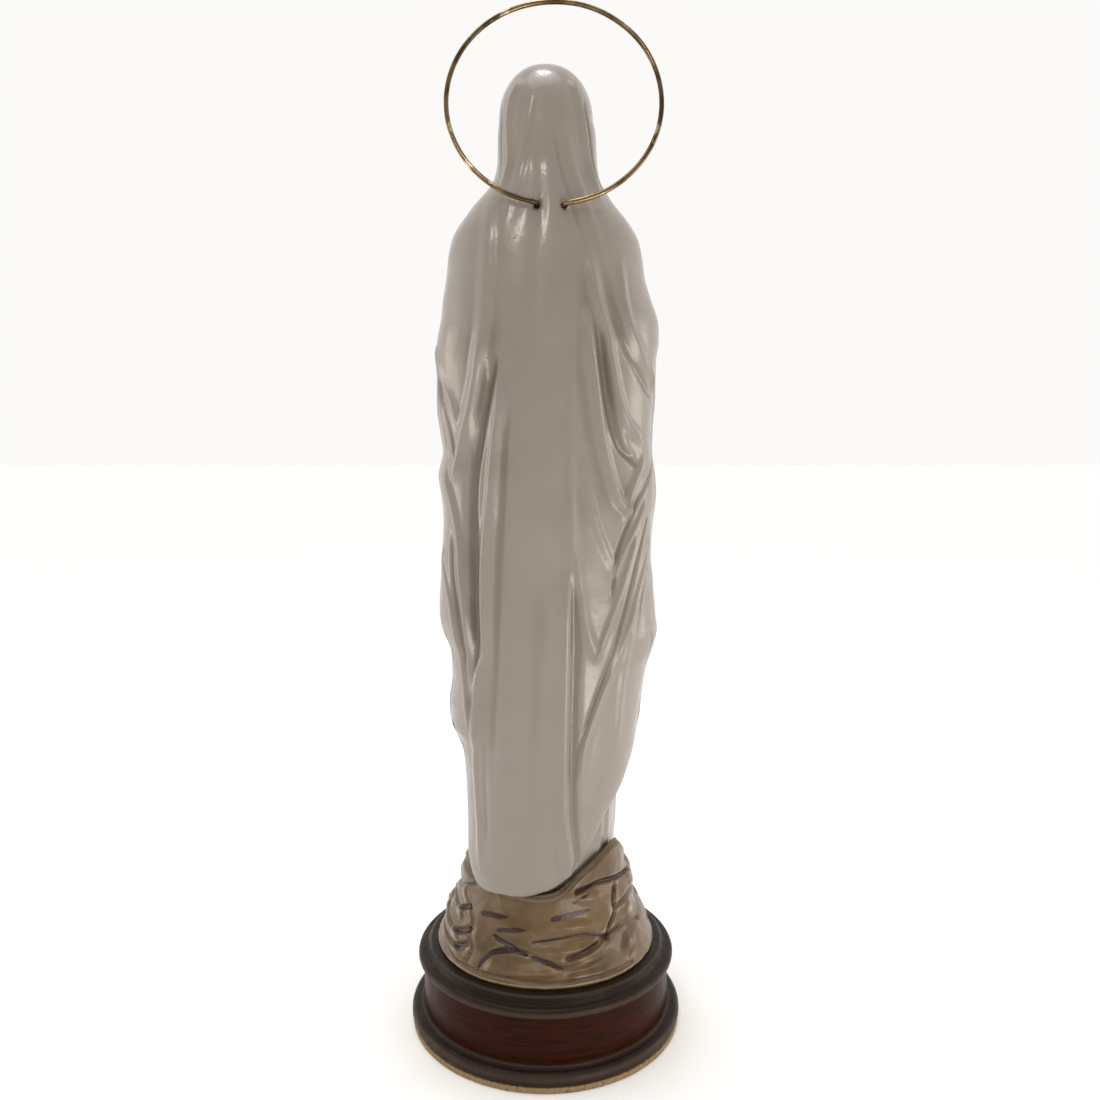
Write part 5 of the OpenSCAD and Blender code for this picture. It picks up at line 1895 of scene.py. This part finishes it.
def build_roses():
    """A gold rose on each foot: rings of cupped petals round a furled heart."""
    low, high = side_mm("left_rose")
    centre = (low + high) / 2
    size = (high[0] - low[0]) / 2 * 1.12
    look = unit(np.array([0.12, -0.72, 0.68]))
    right = unit(np.cross(look, [0, 0, 1]))
    up = np.cross(right, look)
    parts, marks = [], []
    u = np.linspace(-1, 1, 17)[:, None]
    v = np.linspace(0, 1, 12)[None, :]
    for count, foot, lip, base, top, turn in PETALS:
        for k in range(count):
            angle = turn + 2 * math.pi * k / count + u * 1.28 * math.pi / count * (1 - 0.12 * v)
            edge = np.sqrt(np.clip(1 - 0.75 * u**2, 0, 1))
            radius = size * (foot + (lip - foot) * v**0.8 * (0.8 + 0.2 * edge) + 0.05 * u)
            curl = 0.16 * lip * np.clip(v - 0.75, 0, 1) * 4
            height = size * (base + (top - base) * v * (0.72 + 0.28 * edge) - curl)
            outer = np.stack([radius * np.cos(angle), radius * np.sin(angle), height + 0 * u], -1)
            inner = outer * [0.9, 0.9, 1] + [0, 0, 0.1]
            parts.append(np.concatenate([outer, inner[:, ::-1]], 1)[::-1])
            # painted shade: the petals darken towards their bases, deep in the rose
            deep = np.concatenate([0.9 - 1.3 * v + 0 * u, 0.9 - 1.3 * v[:, ::-1] + 0 * u], 1)
            marks.append(np.clip(deep[::-1], 0, 1).ravel())
    points, faces = mesh_of_rings(parts)
    field = np.concatenate(marks)
    turned_points = centre + points[:, :1] * right + points[:, 1:2] * up + points[:, 2:] * look
    for side in (1, -1):
        name = "left" if side > 0 else "right"
        piece = make_mesh(f"{name}_rose_petals", turned_points * [side, 1, 1], [f[::-side] for f in faces])
        set_value(piece, "hollow", field)
        piece.data.materials.append(GOLD)
        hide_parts(f"{name}_rose")


GOLD = gold_paint().done()
build_feet()
build_roses()


ROSARY_TURN = -120  # degrees round the figure, to its right of the front


def build_rosary():
    """Beads that hang in a long loop down the dress, joined by wire links."""
    beads = 28
    radius = 1.05
    u = np.abs(np.arange(beads) - (beads - 1) / 2) / ((beads - 1) / 2)
    side = np.where(np.arange(beads) < beads / 2, -1, 1)
    t = (ROSARY_TURN + side * (2.6 + 10 * u**0.6)) * DEG
    z = 151 + 62 * u
    t = np.concatenate([[t[0] + 0.01, t[0] + 0.01], t, [t[-1], t[-1]]])
    z = np.concatenate([[z[0] + 9.4, z[0] + 4.7], z, [z[-1] + 4.7, z[-1] + 9.4]])
    reach = np.array([dress_point(a, b, radius * 0.82) for a, b in zip(t, z)])
    parts, marks = [], []
    ring = circle(18)
    upper = [(1.0, 0.0), (0.98, 0.22), (0.85, 0.55), (0.6, 0.82), (0.34, 0.98), (0.16, 1.0)]
    shape = np.array([(r, -h) for r, h in upper[:0:-1]] + upper) * radius
    along = unit(np.gradient(reach, axis=0))
    along[len(reach) // 2 - 1] = along[len(reach) // 2] = (1, 0, 0)
    for place, way in zip(reach, along):
        across = unit(np.cross(way, (0.2, 1, 0.1)))
        other = np.cross(across, way)
        around = ring[:, :1] * across + ring[:, 1:] * other
        rings = place + shape[:, None, 1:] * way + shape[:, None, :1] * around
        parts.append(rings[:, ::-1])
        # painted shade at the ends of each bead, where the links meet it
        marks.append(np.repeat(np.clip(np.abs(shape[:, 1]) - 0.75, 0, 1) * 2.5, len(ring)))
    # two links of wire between each bead and the next
    for k, (a, b) in enumerate(zip(reach, reach[1:])):
        gap = np.linalg.norm(b - a) - 2 * radius
        way = unit(b - a)
        for j in (0, 1):
            middle = a + way * (radius + gap * (0.27 + 0.46 * j))
            lie = unit(np.cross(way, (0, 1, 0) if (j + k) % 2 else (0.7, 0.7, 0)))
            parts.append(link(middle, way * (gap * 0.27 + 0.12), lie * 0.42, 0.17))
            # the links are a little darker as painted shade
            marks.append(np.full(parts[-1].shape[0] * parts[-1].shape[1], 0.3))
    points, faces = [], []
    count = 0
    for k, rings in enumerate(parts):
        if k < len(reach):
            faces += capped(rings, count)
        else:
            faces += (grid_faces(*rings.shape[:2], around=True) + count).tolist()
        points.append(rings.reshape(-1, 3))
        count += rings.shape[0] * rings.shape[1]
    welded, faces, first = weld(np.vstack(points), [np.array(f) for f in faces])
    piece = make_mesh("rosary_chain", welded, faces)
    set_value(piece, "hollow", np.concatenate(marks)[first])
    piece.data.materials.append(GOLD)
    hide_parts("rosary_beads")


def build_cross():
    """A cross of two flared bars with a loop at its top."""
    foot = dress_point(ROSARY_TURN * DEG, 144.8, 0.75)
    out = unit(np.array([foot[0], foot[1], 0]))
    across = unit(np.cross(out, (0, 0, 1)))

    def cross(p):
        q = p - foot
        x, y, h = q @ across, q @ out, q[..., 2]

        def bar(a, b, half_length):
            wide = 0.72 * (1 + 0.6 * (a / half_length) ** 4)
            edge = np.maximum(np.abs(a) - half_length, np.abs(b) - wide)
            return np.maximum(edge, np.abs(y) - 0.55)

        d = join(bar(h, x, 5.0), bar(x, h - 1.2, 2.9), 0.25)
        d = carve(d, np.hypot(x, h - 1.2) - 0.36, 0.2)
        loop = np.hypot(np.hypot(x, h - 5.5) - 0.62, y) - 0.2
        return join(d, loop, 0.1) - 0.12

    points, faces = surface_net(cross, foot - [4.2, 3.4, 5.6], foot + [4.2, 3.4, 6.9], 0.16, 2)
    piece = make_mesh("rosary_pendant", points, faces)
    # painted shade on the cross's narrow sides
    near = np.abs((points - foot) @ out)
    set_value(piece, "hollow", np.clip(0.8 - near, 0, 1))
    piece.data.materials.append(GOLD)
    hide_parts("rosary_cross")


def dress_point(t, z, lift):
    """One point that stands clear of the dress."""
    angles = np.array([[t - 0.02, t, t + 0.02]] * 3)
    heights = np.array([[z - 0.5] * 3, [z] * 3, [z + 0.5] * 3])
    p, _ = dress_surface(angles, heights, lift)
    return p[1, 1]


def link(middle, long, wide, r):
    """A ring of wire: an oval of half sizes long and wide."""
    a = np.linspace(0, 2 * math.pi, 15)
    line = middle + np.cos(a)[:, None] * long + np.sin(a)[:, None] * wide
    normal = unit(np.cross(long, wide))
    out = unit(line - middle)
    c = circle(6)
    return line[:, None] + r * (out[:, None] * c[:, :1] + normal * c[:, 1:])


WIRE_R, RING_R = 0.8, 34.5
RING_FOOT_Y = 24.0  # where the ring's foot is behind the figure's axis
RING_LEAN, RING_ROLL = 13 * DEG, 2 * DEG
BEND = 2.4  # length of leg that the bend takes up


def build_halo():
    """Brass wire: a leaning open ring whose two ends bend into legs that enter the nape."""
    leg_end = side_mm("halo")[0][1]
    half = math.asin(LEG_GAP / 2 / RING_R)
    a = np.linspace(-math.pi / 2 + half, 1.5 * math.pi - half, 240)
    x, z = RING_R * np.cos(a), RING_R * (np.sin(a) + math.cos(half))
    cos, sin = math.cos(RING_ROLL), math.sin(RING_ROLL)
    x, z = x * cos - z * sin, x * sin + z * cos
    back, up = RING_FOOT_Y - z * math.sin(RING_LEAN), LEG_Z + z * math.cos(RING_LEAN)
    ring = np.stack([LEGS_X + x, back, up], -1)
    path = []
    for line in (ring, ring[::-1]):
        corner, on = line[0], line[3]
        leg = corner - [0, BEND, 0]
        straight = [corner + (0, y, 0) for y in np.linspace(leg_end - corner[1], -BEND, 8)[:-1]]
        bend = [
            (1 - w) ** 2 * leg + 2 * w * (1 - w) * corner + w * w * on for w in np.linspace(0, 1, 10)
        ]
        path.append(np.array(straight + bend))
    whole = np.concatenate([path[0], ring[4:-4], path[1][::-1]])
    # handling has left the ring a little out of true
    above_nape = smooth_step(286, 292, whole[:, 2:3])
    waves = np.stack([noise(whole + k * 40, 16, 50 + k) for k in range(3)], -1)
    whole += 0.12 * waves * above_nape
    around = circle(20) * WIRE_R * (1 + 0.015 * noise(whole, 5, 60))[:, None, None]
    around[0] *= 0.7
    around[-1] *= 0.7
    rings = sweep_points(whole, around)
    piece = make_mesh("halo_wire", rings.reshape(-1, 3), capped(rings), "halo")
    piece.data.materials.append(brass_wire().done())
    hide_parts("halo")


def finish_hardware():
    """The fixing pieces keep their CAD shapes and take real finishes."""
    finishes = {
        "fixing_screw": plated_steel(), "fixing_washer": plated_steel(), "threaded_insert": raw_brass(),
    }
    for node, material in finishes.items():
        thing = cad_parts[node]
        thing.data.materials.clear()
        thing.data.materials.append(material.done())


build_rosary()
build_cross()
build_halo()
finish_hardware()


# ---------------------------------------------------------------- floor, lights and camera

def aim(thing, target):
    """Turns a light or camera towards a point, in metres."""
    away = thing.location - Vector(target)
    thing.rotation_euler = away.to_track_quat("Z", "Y").to_euler()


WARM = (1.0, 0.93, 0.84)


def area_light(name, place, target, size, watts):
    """A warm rectangular lamp that the camera itself doesn't see."""
    light = bpy.data.lights.new(name, "AREA")
    light.shape = "RECTANGLE"
    light.size, light.size_y = size
    light.energy = watts
    light.color = WARM
    lamp = bpy.data.objects.new(name, light)
    bpy.context.scene.collection.objects.link(lamp)
    lamp.location = place
    lamp.visible_camera = False
    aim(lamp, target)


def build_stage():
    """The white paper that the statue stands on."""
    reach = 12.0
    corners = [(-reach, -reach, 0), (reach, -reach, 0), (reach, reach, 0), (-reach, reach, 0)]
    mesh = bpy.data.meshes.new("floor")
    mesh.from_pydata(corners, [], [(0, 1, 2, 3)])
    floor = bpy.data.objects.new("floor", mesh)
    bpy.context.scene.collection.objects.link(floor)
    m = Material("floor_paper", srgb(253, 252, 251), 0.95, specular=0.0)
    m.tint(m.ramp(m.texture(30, 2), 0.3, 0.7, 0, 0.25), srgb(251, 250, 249))
    floor.data.materials.append(m.done())


def build_room():
    """A bright wall behind the figure as the camera sees it, and a dimmer room on the near side."""
    world = bpy.data.worlds.new("studio")
    world.use_nodes = True
    tree = world.node_tree
    where = tree.nodes.new("ShaderNodeSeparateXYZ")
    tree.links.new(tree.nodes.new("ShaderNodeTexCoord").outputs["Generated"], where.inputs[0])
    strength = tree.nodes.new("ShaderNodeMapRange")
    wall, room = 0.97, 0.38
    for name, value in (("From Min", -0.3), ("From Max", 0.8), ("To Min", wall), ("To Max", room)):
        strength.inputs[name].default_value = value
    tree.links.new(where.outputs["Y"], strength.inputs["Value"])
    sky = tree.nodes["Background"]
    sky.inputs["Color"].default_value = (1.0, 0.985, 0.965, 1)
    tree.links.new(strength.outputs["Result"], sky.inputs["Strength"])
    bpy.context.scene.world = world


def build_lights():
    """Places and sizes in metres, strengths in watts."""
    foot, middle, head = (0, 0, 0.1), (0, 0, 0.2), (0, 0, 0.3)
    area_light("side_left", (0.8, -0.1, 0.2), middle, (0.3, 0.5), 1.4)
    area_light("side_right", (-0.8, -0.05, 0.16), middle, (0.3, 0.5), 1.5)
    area_light("low_fill", (-0.24, 0.34, 0.05), foot, (0.2, 0.1), 0.42)
    area_light("glint", (0.16, 0.5, 0.62), head, (0.05, 0.09), 0.4)
    area_light("ceiling", (0.02, -0.08, 0.95), head, (0.12, 0.12), 0.9)
    sun = bpy.data.lights.new("overhead", "SUN")
    sun.energy, sun.angle = 0.9, math.radians(50)
    overhead = bpy.data.objects.new("overhead", sun)
    bpy.context.scene.collection.objects.link(overhead)
    overhead.rotation_euler = (math.radians(-8), math.radians(5), 0)


EYE_AT, EYE_DOWN = (-0.0016, 0.334, 0.2066), 6.08  # metres, and degrees below level
LENS = 31.09


def build_camera():
    """The photo's view: from behind, a little above the figure's middle."""
    camera = bpy.data.cameras.new("camera")
    camera.sensor_width = 36
    camera.lens = LENS
    camera.clip_start = 0.01
    camera.clip_end = 20
    eye = bpy.data.objects.new("camera", camera)
    bpy.context.scene.collection.objects.link(eye)
    eye.location = EYE_AT
    eye.rotation_euler = (math.radians(90 - EYE_DOWN), 0, math.pi)
    bpy.context.scene.camera = eye
    bpy.context.scene.view_settings.view_transform = "Standard"


build_stage()
build_room()
build_lights()
build_camera()
